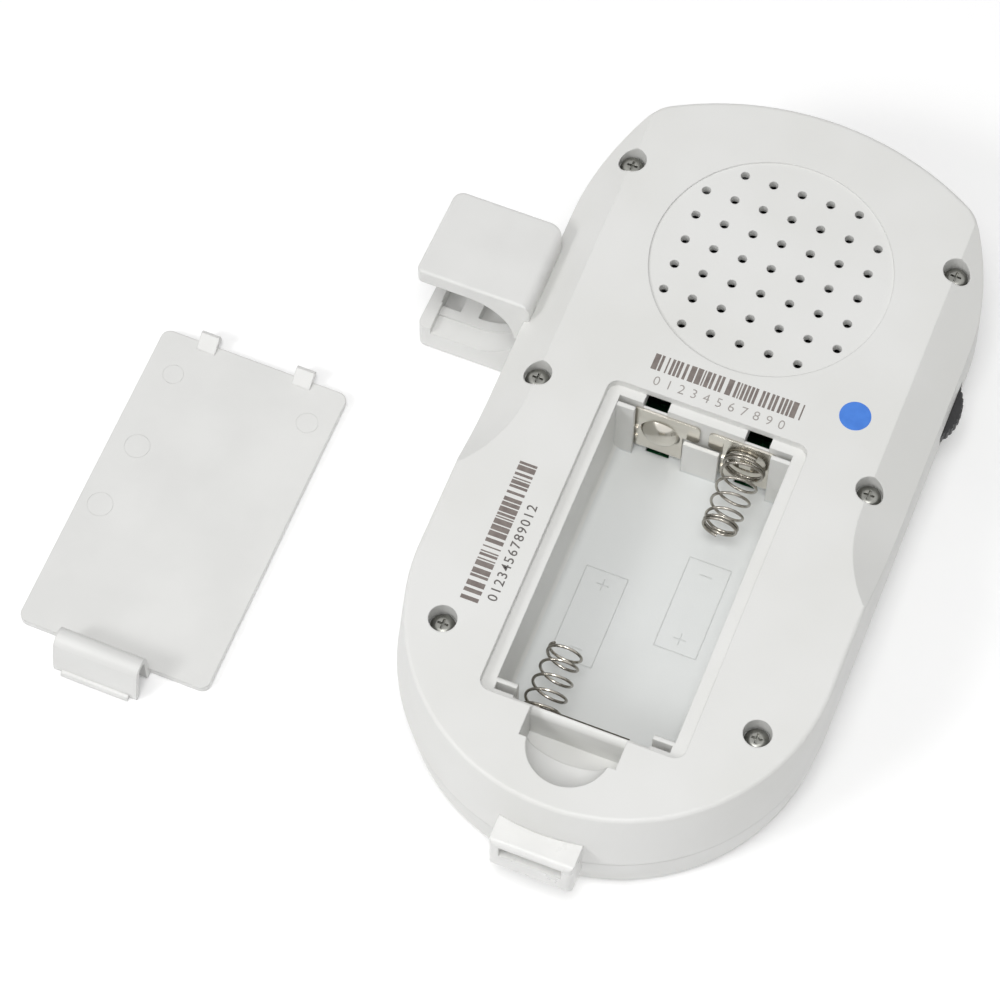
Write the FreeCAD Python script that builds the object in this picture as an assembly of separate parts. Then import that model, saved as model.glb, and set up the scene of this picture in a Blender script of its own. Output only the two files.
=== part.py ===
import FreeCAD, Part
import math
import os
from FreeCAD import Vector

# Pocket fetal doppler monitor, lying on its front face with its back up and
# its battery door taken off and laid beside it, inner face up.
# Millimetres. +Z points out of the back, +Y towards the loudspeaker end, and
# +X towards the side with the volume wheel. The origin is the middle of the
# flat front face, on the surface that the monitor lies on.

# ---------------------------------------------------------------- casing
BODY_HEIGHT = 25.0        # front face to back face
PARTING_Z = 12.0          # where the two covers meet, the widest section
PARTING_GAP = 0.06
HALF_LENGTH = 68.0        # at the parting line
HALF_WIDTH = 35.2         # at the parting line
WALL = 2.0
LIP_DEPTH = 1.2           # rear cover's lip inside the front cover's rim
SHOULDER_CENTRE = (-2.8, 36.3)   # centre of the right-hand shoulder arc
SHOULDER_RADIUS = 38.0
CROWN_RADIUS = 52.2       # arc of the loudspeaker end
CORNER_RADIUS = 6.5       # between shoulder and crown
# How far each outline lies inside the one at the parting line:
# (all round, extra at the bottom end, extra at the loudspeaker end).
AT_PARTING = (0.0, 0.0, 0.0)
AT_BACK = (0.6, 1.6, 1.2)
AT_FRONT = (1.2, 0.6, 0.6)
BACK_EDGE_RADIUS = 0.7
FRONT_EDGE_RADIUS = 2.6

# Slanted grip facets along both shoulders of the back.
FACET_X = 28.3            # where a facet leaves the back face
FACET_END_Y = 0.0         # below this the facet runs out along a cone
FACET_SLOPE = 0.746       # drop per unit of width
FACET_RUNOUT_RADIUS = 24.0
FACET_WALL_SHIFT = 0.7    # facet offset inside the wall, at the same slope

# ---------------------------------------------------------------- screws
SCREW_SITES = [(-28.35, 46.85), (28.35, 46.85), (-28.35, 3.9),
               (28.35, 3.9), (-26.2, -42.2), (26.2, -42.2)]
WELL_RADIUS = 2.3
SCREW_SEAT_Z = 21.4
SCREW_HEAD_RADIUS = 2.1
SCREW_HEAD_HEIGHT = 1.6
SCREW_HEAD_ROUND = 1.2
SCREW_SHANK_RADIUS = 1.3
SCREW_TIP_Z = 5.4
CROSS_HALF_WIDTH = 0.18   # of one arm of the cross recess
BOSS_RADIUS = 3.3

# ---------------------------------------------------------------- loudspeaker
SPEAKER_Y = 36.0
GRILLE_PITCH = 5.0
GRILLE_HOLE_RADIUS = 0.75
GRILLE_DISC_RADIUS = 20.1
GRILLE_DISC_DEPTH = 0.3
SPEAKER_RADIUS = 20.0
SPEAKER_FACE_Z = 22.2     # rear of the foam gasket
GASKET_THICKNESS = 0.8
SPEAKER_SCREW_CIRCLE = 22.3
SPEAKER_SCREW_ANGLES = (90, 210, 330)

# ---------------------------------------------------------------- batteries
CELL_PITCH = 14.8
CELL_AXIS_Z = 15.9
BAY_HALF_WIDTH = 14.8
BAY_BOTTOM_Y = -50.0
BAY_TOP_Y = 5.75
BAY_FLOOR_Z = 8.0
BAY_FLOOR_THICKNESS = 1.4
BAY_CRADLE_RADIUS = 2.0
RECESS_HALF_WIDTH = 17.0
RECESS_BOTTOM_Y = -50.85
RECESS_TOP_Y = 7.4
RECESS_DEPTH = 1.6
LATCH_SLOT_HALF_WIDTH = 8.0
LATCH_SLOT_Y = (-55.95, -51.1)
LATCH_SLOT_FLOOR_Z = 15.6
LATCH_CREST_RADIUS = 1.6
SCOOP_CENTRE = (0.0, -55.0, 26.9)
SCOOP_RADIUS = 7.05
TAB_X = 8.7
TAB_WIDTH = 3.3
TAB_REACH = 1.4
TAB_HEIGHT = 1.8          # of a tab's tip above the door's inner face
TAB_SLOT_BOTTOM_Z = 14.0  # the slots are open to the inside of the casing
TAB_SLOT_LEDGE_Z = 22.0   # top of the thin wall in front of each slot
TAB_SLOT_LEDGE = 0.4
POCKET_X = (11.0, 14.6)   # pockets in the posts at the bottom corners
POCKET_Y = (-49.6, -48.4)
POCKET_BOTTOM_Z = 19.6
RAIL_Y = (4.0, 4.75)      # guides in front of the contact plates
RAIL_TOP_Z = 23.2         # of the outer rails
MIDDLE_RAIL_TOP_Z = 17.5
CONTACT_THICKNESS = 0.35
CONTACT_Z = (9.4, 16.9, 21.8)    # foot of the plate, foot and top of its bar
CONTACT_BARBS_Z = (11.9, 14.8)   # teeth that bite into the rail
BRIDGE_TOP_Z = 22.9       # top of the plate at the bottom end
LUG_Z = 9.6               # where a contact's lug passes through the bay wall
LUG_SLOT_X = 7.7
LUG_SLOT_WIDTH = 4.0
SPRING_WIRE_RADIUS = 0.25
SPRING_WIRE_SIDES = 12           # the round wire is drawn with flat facets
SPRING_RADII = (3.4, 2.75)       # at the plate, at the free tip
SPRING_PITCH = 2.8               # of the open turns
SPRING_CLOSED_PITCH = 0.56
SPRING_START = 60
# Free length, then the closed turns on the plate and at the free tip.
NEGATIVE_SPRING = (12.3, 1.93, 2.04)
BRIDGE_SPRING = (12.8, 2.58, 1.03)

# ---------------------------------------------------------------- battery door
DOOR_HALF_WIDTH = 16.85
DOOR_LENGTH = 58.1
DOOR_THICKNESS = 1.6
DOOR_CENTRE = (-77.45, -29.25)
DOOR_TURN = -0.6          # how far it lies askew, in degrees
DOOR_CORNER_RADIUS = 1.6
LATCH_X = (-7.95, 6.85)          # from the door's centre line
LATCH_LIP_X = (-6.4, 5.5)

# ---------------------------------------------------------------- probe holder
HOLDER_OUTER_X = (-53.8, -53.2)  # at the bottom end, at the loudspeaker end
HOLDER_HOOK_X = -33.8
HOLDER_Y = (14.0, 30.7)
HOLDER_BOTTOM_Z = 0.3
HOLDER_HOOK_ROUND = 1.6
HOLDER_BEVEL = 0.25
HOLDER_LIP_X = -51.4
HOLDER_LIP_HEIGHT = 1.1
HOLDER_POCKETS_X = ((-51.6, -48.1), (-44.9, -38.8))
HOLDER_POCKET_Y = (19.5, 26.5)
HOLDER_POCKET_DEPTH = 2.2
HOLDER_SHALLOW_Y = 17.8          # up to here the channel's floor is a little lower
HOLDER_SHALLOW_DEPTH = 0.4
CHANNEL_RADIUS = 8.2
CHANNEL_CENTRE = (-44.7, 13.6)   # X, Z of the channel's round inner end

# ---------------------------------------------------------------- strap eye
EYE_HALF_WIDTH = 7.0
EYE_FRONT_Y = -71.3
EYE_Z = (7.8, 17.0)
EYE_SLOT_HALF_WIDTH = 5.2
EYE_SLOT_Z = (12.6, 15.8)
EYE_ROUND = 1.0

# ---------------------------------------------------------------- volume wheel
WHEEL_CENTRE = (28.8, 27.4)
WHEEL_RADIUS = 8.0
WHEEL_Z = (12.25, 14.85)
WHEEL_KNURLS = 44
SHAFT_RADIUS = 2.0

# ---------------------------------------------------------------- electronics
BOARD_Z = (5.0, 6.2)
BOARD_INSET = 3.4
JACK_Z = 8.1
JACK_X = 13.0
JACK_BORE_RADIUS = 1.8
JACK_NOSE_RADIUS = 2.4
JACK_FACE_Y = 65.0
JACK_DEPTH = 14.0
DISPLAY_CENTRE_Y = 33.5
DISPLAY_HALF = (20.0, 13.5)      # half of the clear opening, X and Y
BUTTONS = {"power": (0.0, -24.0, 6.0), "mode": (-17.0, -10.0, 4.6), "light": (17.0, -10.0, 4.6)}
BUTTON_FACE_Z = 0.3
BUTTON_FLANGE_Z = (2.05, 2.85)
PLUNGER_RADIUS = 1.4
RUNNING_GAP = 0.05


# ---------------------------------------------------------------- helpers
def box(x0, x1, y0, y1, z0, z1):
    return Part.makeBox(x1 - x0, y1 - y0, z1 - z0, Vector(x0, y0, z0))


def post(x, y, z0, z1, radius):
    return Part.makeCylinder(radius, z1 - z0, Vector(x, y, z0))


def along_y(x, z, y0, y1, radius):
    return Part.makeCylinder(radius, y1 - y0, Vector(x, y0, z), Vector(0, 1, 0))


def mirror_x(shape):
    return shape.mirror(Vector(0, 0, 0), Vector(1, 0, 0))


def prism(points, direction):
    """Solid from a closed polygon of points, pushed along a vector."""
    corners = [Vector(*point) for point in points]
    return Part.Face(Part.makePolygon(corners + corners[:1])).extrude(Vector(*direction))


def rounded_box(x0, x1, y0, y1, z0, z1, radius):
    """Box whose four upright edges are rounded."""
    solid = box(x0, x1, y0, y1, z0, z1)
    upright = [edge for edge in solid.Edges if abs(edge.tangentAt(edge.FirstParameter).z) > 0.9]
    return solid.makeFillet(radius, upright)


def upright_edges(solid, x, y):
    """Upright edges that stand at one place in plan."""
    return [edge for edge in solid.Edges
            if abs(edge.tangentAt(edge.FirstParameter).z) > 0.9
            and abs(edge.BoundBox.XMin - x) < 0.01 and abs(edge.BoundBox.YMin - y) < 0.01]


def edges_at_z(solid, z, tolerance=0.01):
    """Edges that lie wholly at one height."""
    return [edge for edge in solid.Edges
            if abs(edge.BoundBox.ZMin - z) < tolerance and abs(edge.BoundBox.ZMax - z) < tolerance]


def arc(centre, radius, start, end):
    """Arc in the XY plane between two angles, in degrees."""
    def at(angle):
        turn = math.radians(angle)
        return Vector(centre[0] + radius * math.cos(turn), centre[1] + radius * math.sin(turn), 0)
    return Part.Arc(at(start), at((start + end) / 2), at(end)).toShape()


def circle_crossing(first, first_radius, second, second_radius):
    """The crossing of two circles with the larger X."""
    dx, dy = second[0] - first[0], second[1] - first[1]
    gap = math.hypot(dx, dy)
    along = (first_radius ** 2 - second_radius ** 2 + gap ** 2) / (2 * gap)
    across = math.sqrt(first_radius ** 2 - along ** 2)
    foot = (first[0] + along * dx / gap, first[1] + along * dy / gap)
    crossings = [(foot[0] + side * across * dy / gap, foot[1] - side * across * dx / gap)
                 for side in (1, -1)]
    return max(crossings)


def angle_from(centre, point):
    return math.degrees(math.atan2(point[1] - centre[1], point[0] - centre[0]))


def outline(inset, z):
    """The casing's plan outline at one height: straight sides, a round bottom
    end, shoulder arcs, small corners and a shallow crown."""
    side, bottom, top = inset
    bottom_centre = (0.0, HALF_WIDTH - HALF_LENGTH + bottom)
    crown_centre = (0.0, HALF_LENGTH - CROWN_RADIUS - top)
    corner = circle_crossing(SHOULDER_CENTRE, SHOULDER_RADIUS - CORNER_RADIUS,
                             crown_centre, CROWN_RADIUS - CORNER_RADIUS)
    shoulder_end = angle_from(SHOULDER_CENTRE, corner)
    crown_start = angle_from(crown_centre, corner)
    width = HALF_WIDTH - side
    left_shoulder = (-SHOULDER_CENTRE[0], SHOULDER_CENTRE[1])
    left_corner = (-corner[0], corner[1])

    def straight(x, start, end):
        return Part.LineSegment(Vector(x, start, 0), Vector(x, end, 0)).toShape()

    edges = [straight(width, bottom_centre[1], SHOULDER_CENTRE[1]),
             arc(SHOULDER_CENTRE, SHOULDER_RADIUS - side, 0, shoulder_end),
             arc(corner, CORNER_RADIUS - side, shoulder_end, crown_start),
             arc(crown_centre, CROWN_RADIUS - side, crown_start, 180 - crown_start),
             arc(left_corner, CORNER_RADIUS - side, 180 - crown_start, 180 - shoulder_end),
             arc(left_shoulder, SHOULDER_RADIUS - side, 180 - shoulder_end, 180),
             straight(-width, SHOULDER_CENTRE[1], bottom_centre[1]),
             arc(bottom_centre, width, 180, 270),
             arc(bottom_centre, width, 270, 360)]
    wire = Part.Wire(edges)
    wire.translate(Vector(0, 0, z))
    return wire


def grown(inset, extra):
    """The same outline, moved a further distance inwards all round."""
    return (inset[0] + extra, inset[1], inset[2])


def stack(low, low_z, high, high_z):
    """Solid between two outlines."""
    return Part.makeLoft([outline(low, low_z), outline(high, high_z)], True, True)


def between(low, high, share):
    return tuple(a + (b - a) * share for a, b in zip(low, high))


def facet_tool(shift):
    """What the right-hand grip facet cuts away; shift moves it inwards, for
    the inner side of the wall."""
    x = FACET_X - shift
    top = BODY_HEIGHT + 5.0
    rise = 5.0 / FACET_SLOPE
    far = x + 12.0
    drop = (far - x) * FACET_SLOPE
    section = [(x - rise, FACET_END_Y, top), (far, FACET_END_Y, top),
               (far, FACET_END_Y, BODY_HEIGHT - drop)]
    wedge = prism(section, (0, HALF_LENGTH + 10.0, 0))
    axis_x = FACET_X + FACET_RUNOUT_RADIUS
    radius = FACET_RUNOUT_RADIUS + shift
    depth = radius * FACET_SLOPE
    cone = Part.makeCone(0, radius + rise, depth + 5.0, Vector(axis_x, FACET_END_Y, BODY_HEIGHT - depth))
    return wedge.fuse(cone)


def back_half_outside():
    """Outside of the rear cover, before its facets are cut."""
    solid = stack(AT_PARTING, PARTING_Z, AT_BACK, BODY_HEIGHT)
    return solid.makeFillet(BACK_EDGE_RADIUS, edges_at_z(solid, BODY_HEIGHT))


def front_half_outside(rim_z):
    solid = stack(AT_FRONT, 0.0, between(AT_FRONT, AT_PARTING, rim_z / PARTING_Z), rim_z)
    return solid.makeFillet(FRONT_EDGE_RADIUS, edges_at_z(solid, 0.0))


def casing_solid():
    """Both halves filled in, to trim what fits against the outside."""
    facet = facet_tool(0.0)
    back = back_half_outside().cut([facet, mirror_x(facet)])
    return back.fuse(front_half_outside(PARTING_Z))


# ---------------------------------------------------------------- covers
def strap_tongue(gap):
    """The strap eye's neck and the wider tongue behind it, trapped at the
    parting line; gap enlarges them to cut the seat in the covers."""
    neck = box(-5.0 - gap, 5.0 + gap, -69.0, -63.8 + gap, 9.6 - gap, 14.6 + gap)
    tongue = box(-7.2 - gap, 7.2 + gap, -65.2 - gap, -63.8 + gap, 8.6 - gap, 15.6 + gap)
    return neck.fuse(tongue)


def holder_tongue(gap):
    neck = box(-36.2, -31.0 + gap, 17.4 - gap, 27.4 + gap, 9.6 - gap, 14.6 + gap)
    tongue = box(-33.05 - gap, -31.0 + gap, 15.8 - gap, 29.0 + gap, 8.6 - gap, 15.6 + gap)
    return neck.fuse(tongue)


def wheel_window():
    x, y = WHEEL_CENTRE
    return post(x, y, PARTING_Z, WHEEL_Z[1] + 0.3, WHEEL_RADIUS + 0.4)


def battery_bay():
    """The open space for the two cells, with rounded cradle corners."""
    solid = box(-BAY_HALF_WIDTH, BAY_HALF_WIDTH, BAY_BOTTOM_Y, BAY_TOP_Y, BAY_FLOOR_Z, BODY_HEIGHT + 1)
    low_edges = [edge for edge in edges_at_z(solid, BAY_FLOOR_Z)
                 if abs(edge.tangentAt(edge.FirstParameter).y) > 0.9]
    return solid.makeFillet(BAY_CRADLE_RADIUS, low_edges)


def bay_walls():
    """Material round the battery bay, the latch slot and the finger scoop."""
    floor_z = BAY_FLOOR_Z - BAY_FLOOR_THICKNESS
    ceiling = BODY_HEIGHT - WALL
    lower = box(-BAY_HALF_WIDTH - 1.5, BAY_HALF_WIDTH + 1.5, BAY_BOTTOM_Y - 1.4, BAY_TOP_Y + 1.6,
                floor_z, ceiling)
    rim = box(-RECESS_HALF_WIDTH - 1.6, RECESS_HALF_WIDTH + 1.6, RECESS_BOTTOM_Y - 1.6,
              RECESS_TOP_Y + 2.8, ceiling - 2.4, ceiling)
    latch = box(-LATCH_SLOT_HALF_WIDTH - 1.4, LATCH_SLOT_HALF_WIDTH + 1.4, LATCH_SLOT_Y[0] - 1.4,
                BAY_BOTTOM_Y - 1.0, LATCH_SLOT_FLOOR_Z - 1.4, ceiling)
    scoop = Part.makeSphere(SCOOP_RADIUS + 1.6, Vector(*SCOOP_CENTRE))
    scoop = scoop.common(box(-20, 20, -75, LATCH_SLOT_Y[0], 10, ceiling + 0.4))
    return [lower, rim, latch, scoop]


def bay_rails():
    """Guides that hold the contact plates, and the posts at the bottom corners."""
    front, back = RAIL_Y
    foot_z = BAY_FLOOR_Z - 0.5
    side_x = BAY_HALF_WIDTH + 0.5
    rails = [box(-side_x, -11.7, front, back, foot_z, RAIL_TOP_Z),
             box(-3.1, 3.0, front, back, foot_z, MIDDLE_RAIL_TOP_Z),
             box(11.6, side_x, front, back, foot_z, RAIL_TOP_Z)]
    top_z = BODY_HEIGHT - RECESS_DEPTH
    front_y = BAY_BOTTOM_Y + 2.6
    corner = box(11.3, side_x, BAY_BOTTOM_Y - 0.5, front_y, foot_z, top_z)
    crest = [edge for edge in edges_at_z(corner, top_z) if abs(edge.BoundBox.YMin - front_y) < 0.01]
    corner = corner.makeFillet(0.6, crest)
    return rails + [corner, mirror_x(corner)]


def bay_cuts():
    """Door recess, latch slot, scoop, tab slots, pockets and contact slots."""
    recess_z = BODY_HEIGHT - RECESS_DEPTH
    top = BODY_HEIGHT + 1.0
    recess = rounded_box(-RECESS_HALF_WIDTH, RECESS_HALF_WIDTH, RECESS_BOTTOM_Y, RECESS_TOP_Y,
                         recess_z, top, 1.9)
    scoop = Part.makeSphere(SCOOP_RADIUS, Vector(*SCOOP_CENTRE))
    scoop = scoop.common(box(-20, 20, -75, LATCH_SLOT_Y[0] + 0.1, 10, 40))
    cuts = [recess, latch_slot(recess_z, top), scoop]
    for side in (-1, 1):
        x = side * TAB_X
        cuts.append(box(x - 2.1, x + 2.1, BAY_TOP_Y + TAB_SLOT_LEDGE, RECESS_TOP_Y + 1.5,
                        TAB_SLOT_BOTTOM_Z, recess_z + 0.1))
        cuts.append(box(x - 2.1, x + 2.1, BAY_TOP_Y - 0.35, RECESS_TOP_Y, TAB_SLOT_LEDGE_Z, recess_z + 0.1))
        pocket_x = sorted(side * edge for edge in POCKET_X)
        cuts.append(box(pocket_x[0], pocket_x[1], POCKET_Y[0], POCKET_Y[1], POCKET_BOTTOM_Z, top))
        low_x = side * LUG_SLOT_X - LUG_SLOT_WIDTH / 2
        high_x = low_x + LUG_SLOT_WIDTH
        wall_back = BAY_TOP_Y + 1.7
        cuts.append(box(low_x, high_x, BAY_TOP_Y - 0.35, wall_back, 5.0, CONTACT_Z[0]))
        x = side * CELL_PITCH / 2
        cuts.append(box(x - 1.45, x + 1.45, BAY_TOP_Y - 0.1, wall_back, LUG_Z - 0.3, LUG_Z + 0.45))
    return cuts


def latch_slot(recess_z, top):
    """Slot for the door's latch, rounded over the wall towards the bay."""
    x = LATCH_SLOT_HALF_WIDTH
    slot = box(-x, x, LATCH_SLOT_Y[0], LATCH_SLOT_Y[1], LATCH_SLOT_FLOOR_Z, top)
    wall_y = LATCH_SLOT_Y[1]
    over_wall = box(-x, x, wall_y - 1.0, wall_y + LATCH_CREST_RADIUS + 0.2, recess_z, top)
    cutter = slot.fuse(over_wall)
    crest = [edge for edge in edges_at_z(cutter, recess_z)
             if abs(edge.BoundBox.YMin - wall_y) < 0.01 and abs(edge.BoundBox.YMax - wall_y) < 0.01]
    return cutter.makeFillet(LATCH_CREST_RADIUS, crest)


def grille_holes():
    """A seven by seven field of holes without its corners."""
    holes = []
    for column in range(-3, 4):
        for row in range(-3, 4):
            if abs(column) == 3 and abs(row) == 3:
                continue
            holes.append(post(column * GRILLE_PITCH, SPEAKER_Y + row * GRILLE_PITCH, 21.0,
                              BODY_HEIGHT + 1, GRILLE_HOLE_RADIUS))
    return holes


def speaker_screw_sites():
    return [(SPEAKER_SCREW_CIRCLE * math.cos(math.radians(angle)),
             SPEAKER_Y + SPEAKER_SCREW_CIRCLE * math.sin(math.radians(angle)))
            for angle in SPEAKER_SCREW_ANGLES]


def rear_cover():
    facet = facet_tool(0.0)
    outside = back_half_outside().cut([facet, mirror_x(facet)])
    lip = stack(grown(AT_PARTING, 1.05), PARTING_Z - LIP_DEPTH, grown(AT_PARTING, 1.05), PARTING_Z + 0.5)
    inner_facet = facet_tool(FACET_WALL_SHIFT + WALL)
    hollow_top = BODY_HEIGHT - WALL
    share = (hollow_top - PARTING_Z) / (BODY_HEIGHT - PARTING_Z)
    rim = grown(AT_PARTING, WALL)
    ceiling = grown(between(AT_PARTING, AT_BACK, share), WALL)
    hollow = Part.makeLoft([outline(rim, PARTING_Z - LIP_DEPTH - 1), outline(rim, PARTING_Z),
                            outline(ceiling, hollow_top)], True, True)
    hollow = hollow.cut([inner_facet, mirror_x(inner_facet)])
    shell = outside.fuse(lip).cut(hollow)

    bosses = [post(x, y, PARTING_Z, 24.0, BOSS_RADIUS) for x, y in SCREW_SITES]
    bosses = [boss.common(outside) for boss in bosses]
    ring = post(0, SPEAKER_Y, 21.4, 23.5, SPEAKER_RADIUS + 1.5)
    ring = ring.cut(post(0, SPEAKER_Y, 21.0, 23.0, SPEAKER_RADIUS + 0.2))
    pads = [post(x, y, 21.4, 23.5, 1.9).cut(post(0, SPEAKER_Y, 21.0, 23.0, SPEAKER_RADIUS + 0.2))
            for x, y in speaker_screw_sites()]
    shell = shell.fuse(bosses + [ring] + pads + bay_walls())

    shell = shell.cut(battery_bay())
    shell = shell.fuse(bay_rails())
    shell = shell.cut(bay_cuts())
    wells = [post(x, y, SCREW_SEAT_Z, BODY_HEIGHT + 2, WELL_RADIUS) for x, y in SCREW_SITES]
    bores = [post(x, y, PARTING_Z - 1, SCREW_SEAT_Z + 1, SCREW_SHANK_RADIUS + 0.15) for x, y in SCREW_SITES]
    pilots = [post(x, y, 21.0, 24.1, 0.95) for x, y in speaker_screw_sites()]
    disc = post(0, SPEAKER_Y, BODY_HEIGHT - GRILLE_DISC_DEPTH, BODY_HEIGHT + 1, GRILLE_DISC_RADIUS)
    shell = shell.cut(wells + bores + pilots + [disc] + grille_holes())
    return shell.cut([wheel_window(), strap_tongue(0.1), holder_tongue(0.1)])


def front_cover():
    rim_z = PARTING_Z - PARTING_GAP
    outside = front_half_outside(rim_z)
    floor_share = WALL / PARTING_Z
    hollow = stack(grown(between(AT_FRONT, AT_PARTING, floor_share), WALL), WALL,
                   grown(AT_PARTING, WALL), PARTING_Z + 0.01)
    lip_low = PARTING_Z - LIP_DEPTH - 0.15
    lip_space = stack(grown(AT_PARTING, 0.95), lip_low, grown(AT_PARTING, 0.95), PARTING_Z + 1)
    lip_core = stack(grown(AT_PARTING, 2.4), lip_low, grown(AT_PARTING, 2.4), PARTING_Z + 1)
    shell = outside.cut(hollow)
    bosses = [post(x, y, 1.0, rim_z, BOSS_RADIUS).common(outside) for x, y in SCREW_SITES]
    bosses += [post(x, y, 1.0, BOARD_Z[0], 2.4) for x, y in board_screw_sites()]
    shell = shell.fuse(bosses).cut(lip_space.cut(lip_core))

    half_x, half_y = DISPLAY_HALF
    opening = rounded_box(-half_x, half_x, DISPLAY_CENTRE_Y - half_y, DISPLAY_CENTRE_Y + half_y, -1, 3, 1.5)
    seat = rounded_box(-half_x - 2, half_x + 2, DISPLAY_CENTRE_Y - half_y - 2,
                       DISPLAY_CENTRE_Y + half_y + 2, -1, 0.95, 2.5)
    cuts = [opening, seat]
    for x, y, radius in BUTTONS.values():
        cuts.append(post(x, y, -1, WALL + 0.5, radius + 0.15))
    cuts += [post(x, y, SCREW_TIP_Z - 0.5, PARTING_Z + 1, SCREW_SHANK_RADIUS + 0.02) for x, y in SCREW_SITES]
    cuts += [post(x, y, 1.6, BOARD_Z[0] + 1, 0.87) for x, y in board_screw_sites()]
    for side in (-1, 1):
        cuts.append(along_y(side * JACK_X, JACK_Z, 60.0, 72.0, JACK_NOSE_RADIUS + 0.1))
        cuts.append(along_y(side * JACK_X, JACK_Z, JACK_FACE_Y - 0.1, 72.0, 3.0))
    shell = shell.cut(cuts)
    return shell.cut([strap_tongue(0.1), holder_tongue(0.1)])


def case_screws():
    """Six pan-head screws with a cross recess."""
    screws = []
    for x, y in SCREW_SITES:
        head = post(x, y, SCREW_SEAT_Z, SCREW_SEAT_Z + SCREW_HEAD_HEIGHT, SCREW_HEAD_RADIUS)
        head = head.makeFillet(SCREW_HEAD_ROUND, edges_at_z(head, SCREW_SEAT_Z + SCREW_HEAD_HEIGHT))
        shank = post(x, y, SCREW_TIP_Z, SCREW_SEAT_Z + 0.1, SCREW_SHANK_RADIUS)
        screws.append(cross_recess(head.fuse(shank), x, y, SCREW_SEAT_Z + SCREW_HEAD_HEIGHT, 0.9))
    return Part.makeCompound(screws)


def cross_recess(screw, x, y, top_z, reach):
    half = CROSS_HALF_WIDTH
    slot = box(x - reach, x + reach, y - half, y + half, top_z - 0.8, top_z + 0.5)
    return screw.cut([slot, slot.rotated(Vector(x, y, 0), Vector(0, 0, 1), 90)])


# ---------------------------------------------------------------- outside fittings
def probe_holder():
    """C-shaped holder whose hook lies over the casing's left facet."""
    y0, y1 = HOLDER_Y
    front_x, back_x = HOLDER_OUTER_X
    base = HOLDER_BOTTOM_Z
    block = prism([(front_x, y0, base), (HOLDER_HOOK_X, y0, base), (HOLDER_HOOK_X, y1, base),
                   (back_x, y1, base)], (0, 0, BODY_HEIGHT - base))
    block = block.makeFillet(1.2, upright_edges(block, front_x, y0))
    block = block.makeFillet(1.8, upright_edges(block, back_x, y1))
    block = block.makeFillet(2.8, upright_edges(block, HOLDER_HOOK_X, y1))
    block = block.makeFillet(0.5, edges_at_z(block, BODY_HEIGHT))
    over_hook = box(front_x - 1, HOLDER_HOOK_X, y0 - 1, y1 + 1, base - 1, BODY_HEIGHT)
    hook_rim = [edge for edge in edges_at_z(over_hook, BODY_HEIGHT)
                if abs(edge.BoundBox.XMin - HOLDER_HOOK_X) < 0.01]
    block = block.common(over_hook.makeFillet(HOLDER_HOOK_ROUND, hook_rim))
    bevel = prism([(front_x - 1, y0, BODY_HEIGHT - HOLDER_BEVEL), (front_x - 1, y0 - 1, BODY_HEIGHT),
                   (front_x - 1, y0, BODY_HEIGHT + 1), (front_x - 1, y0 + HOLDER_BEVEL, BODY_HEIGHT)],
                  (HOLDER_HOOK_X - front_x + 2, 0, 0))
    block = block.cut(bevel)

    cx, cz = CHANNEL_CENTRE
    leg_top = cz - CHANNEL_RADIUS
    channel = along_y(cx, cz, y0 - 2, y1 + 2, CHANNEL_RADIUS)
    mouth = box(front_x - 2, cx, y0 - 2, y1 + 2, leg_top, cz + CHANNEL_RADIUS)
    lip = box(front_x - 2, HOLDER_LIP_X, y0 - 2, y1 + 2, leg_top, leg_top + HOLDER_LIP_HEIGHT)
    pockets = [box(low, high, HOLDER_POCKET_Y[0], HOLDER_POCKET_Y[1], leg_top - HOLDER_POCKET_DEPTH,
                   leg_top + 4) for low, high in HOLDER_POCKETS_X]
    low_z = leg_top - HOLDER_SHALLOW_DEPTH
    shallow = along_y(cx, cz, y0 - 1, HOLDER_SHALLOW_Y, CHANNEL_RADIUS + HOLDER_SHALLOW_DEPTH)
    shallow = shallow.common(box(cx, HOLDER_HOOK_X, y0 - 1, y1, low_z, cz))
    shallow = shallow.fuse(box(HOLDER_LIP_X, cx, y0 - 1, HOLDER_SHALLOW_Y, low_z, cz))
    below_rim = box(-34.7, HOLDER_HOOK_X + 1, y0 - 1, y1 + 1, 0, PARTING_Z)
    holder = block.cut([channel, mouth.cut(lip), shallow, below_rim, casing_solid()] + pockets)
    return holder.fuse(holder_tongue(0.0))


def strap_eye():
    """Small box-shaped eye: a strap enters the front slot and leaves below."""
    block = box(-EYE_HALF_WIDTH, EYE_HALF_WIDTH, EYE_FRONT_Y, -62.0, EYE_Z[0], EYE_Z[1])
    front_edges = [edge for edge in block.Edges if abs(edge.BoundBox.YMax - EYE_FRONT_Y) < 0.01]
    block = block.makeFillet(EYE_ROUND, front_edges)
    block = block.cut(casing_solid())
    x = EYE_SLOT_HALF_WIDTH
    slot = box(-x, x, EYE_FRONT_Y - 1, -68.1, EYE_SLOT_Z[0], EYE_SLOT_Z[1])
    exit_slot = box(-x, x, -69.9, -68.1, EYE_Z[0] - 1, EYE_SLOT_Z[1])
    return block.fuse(strap_tongue(0.0)).cut([slot, exit_slot])


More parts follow.
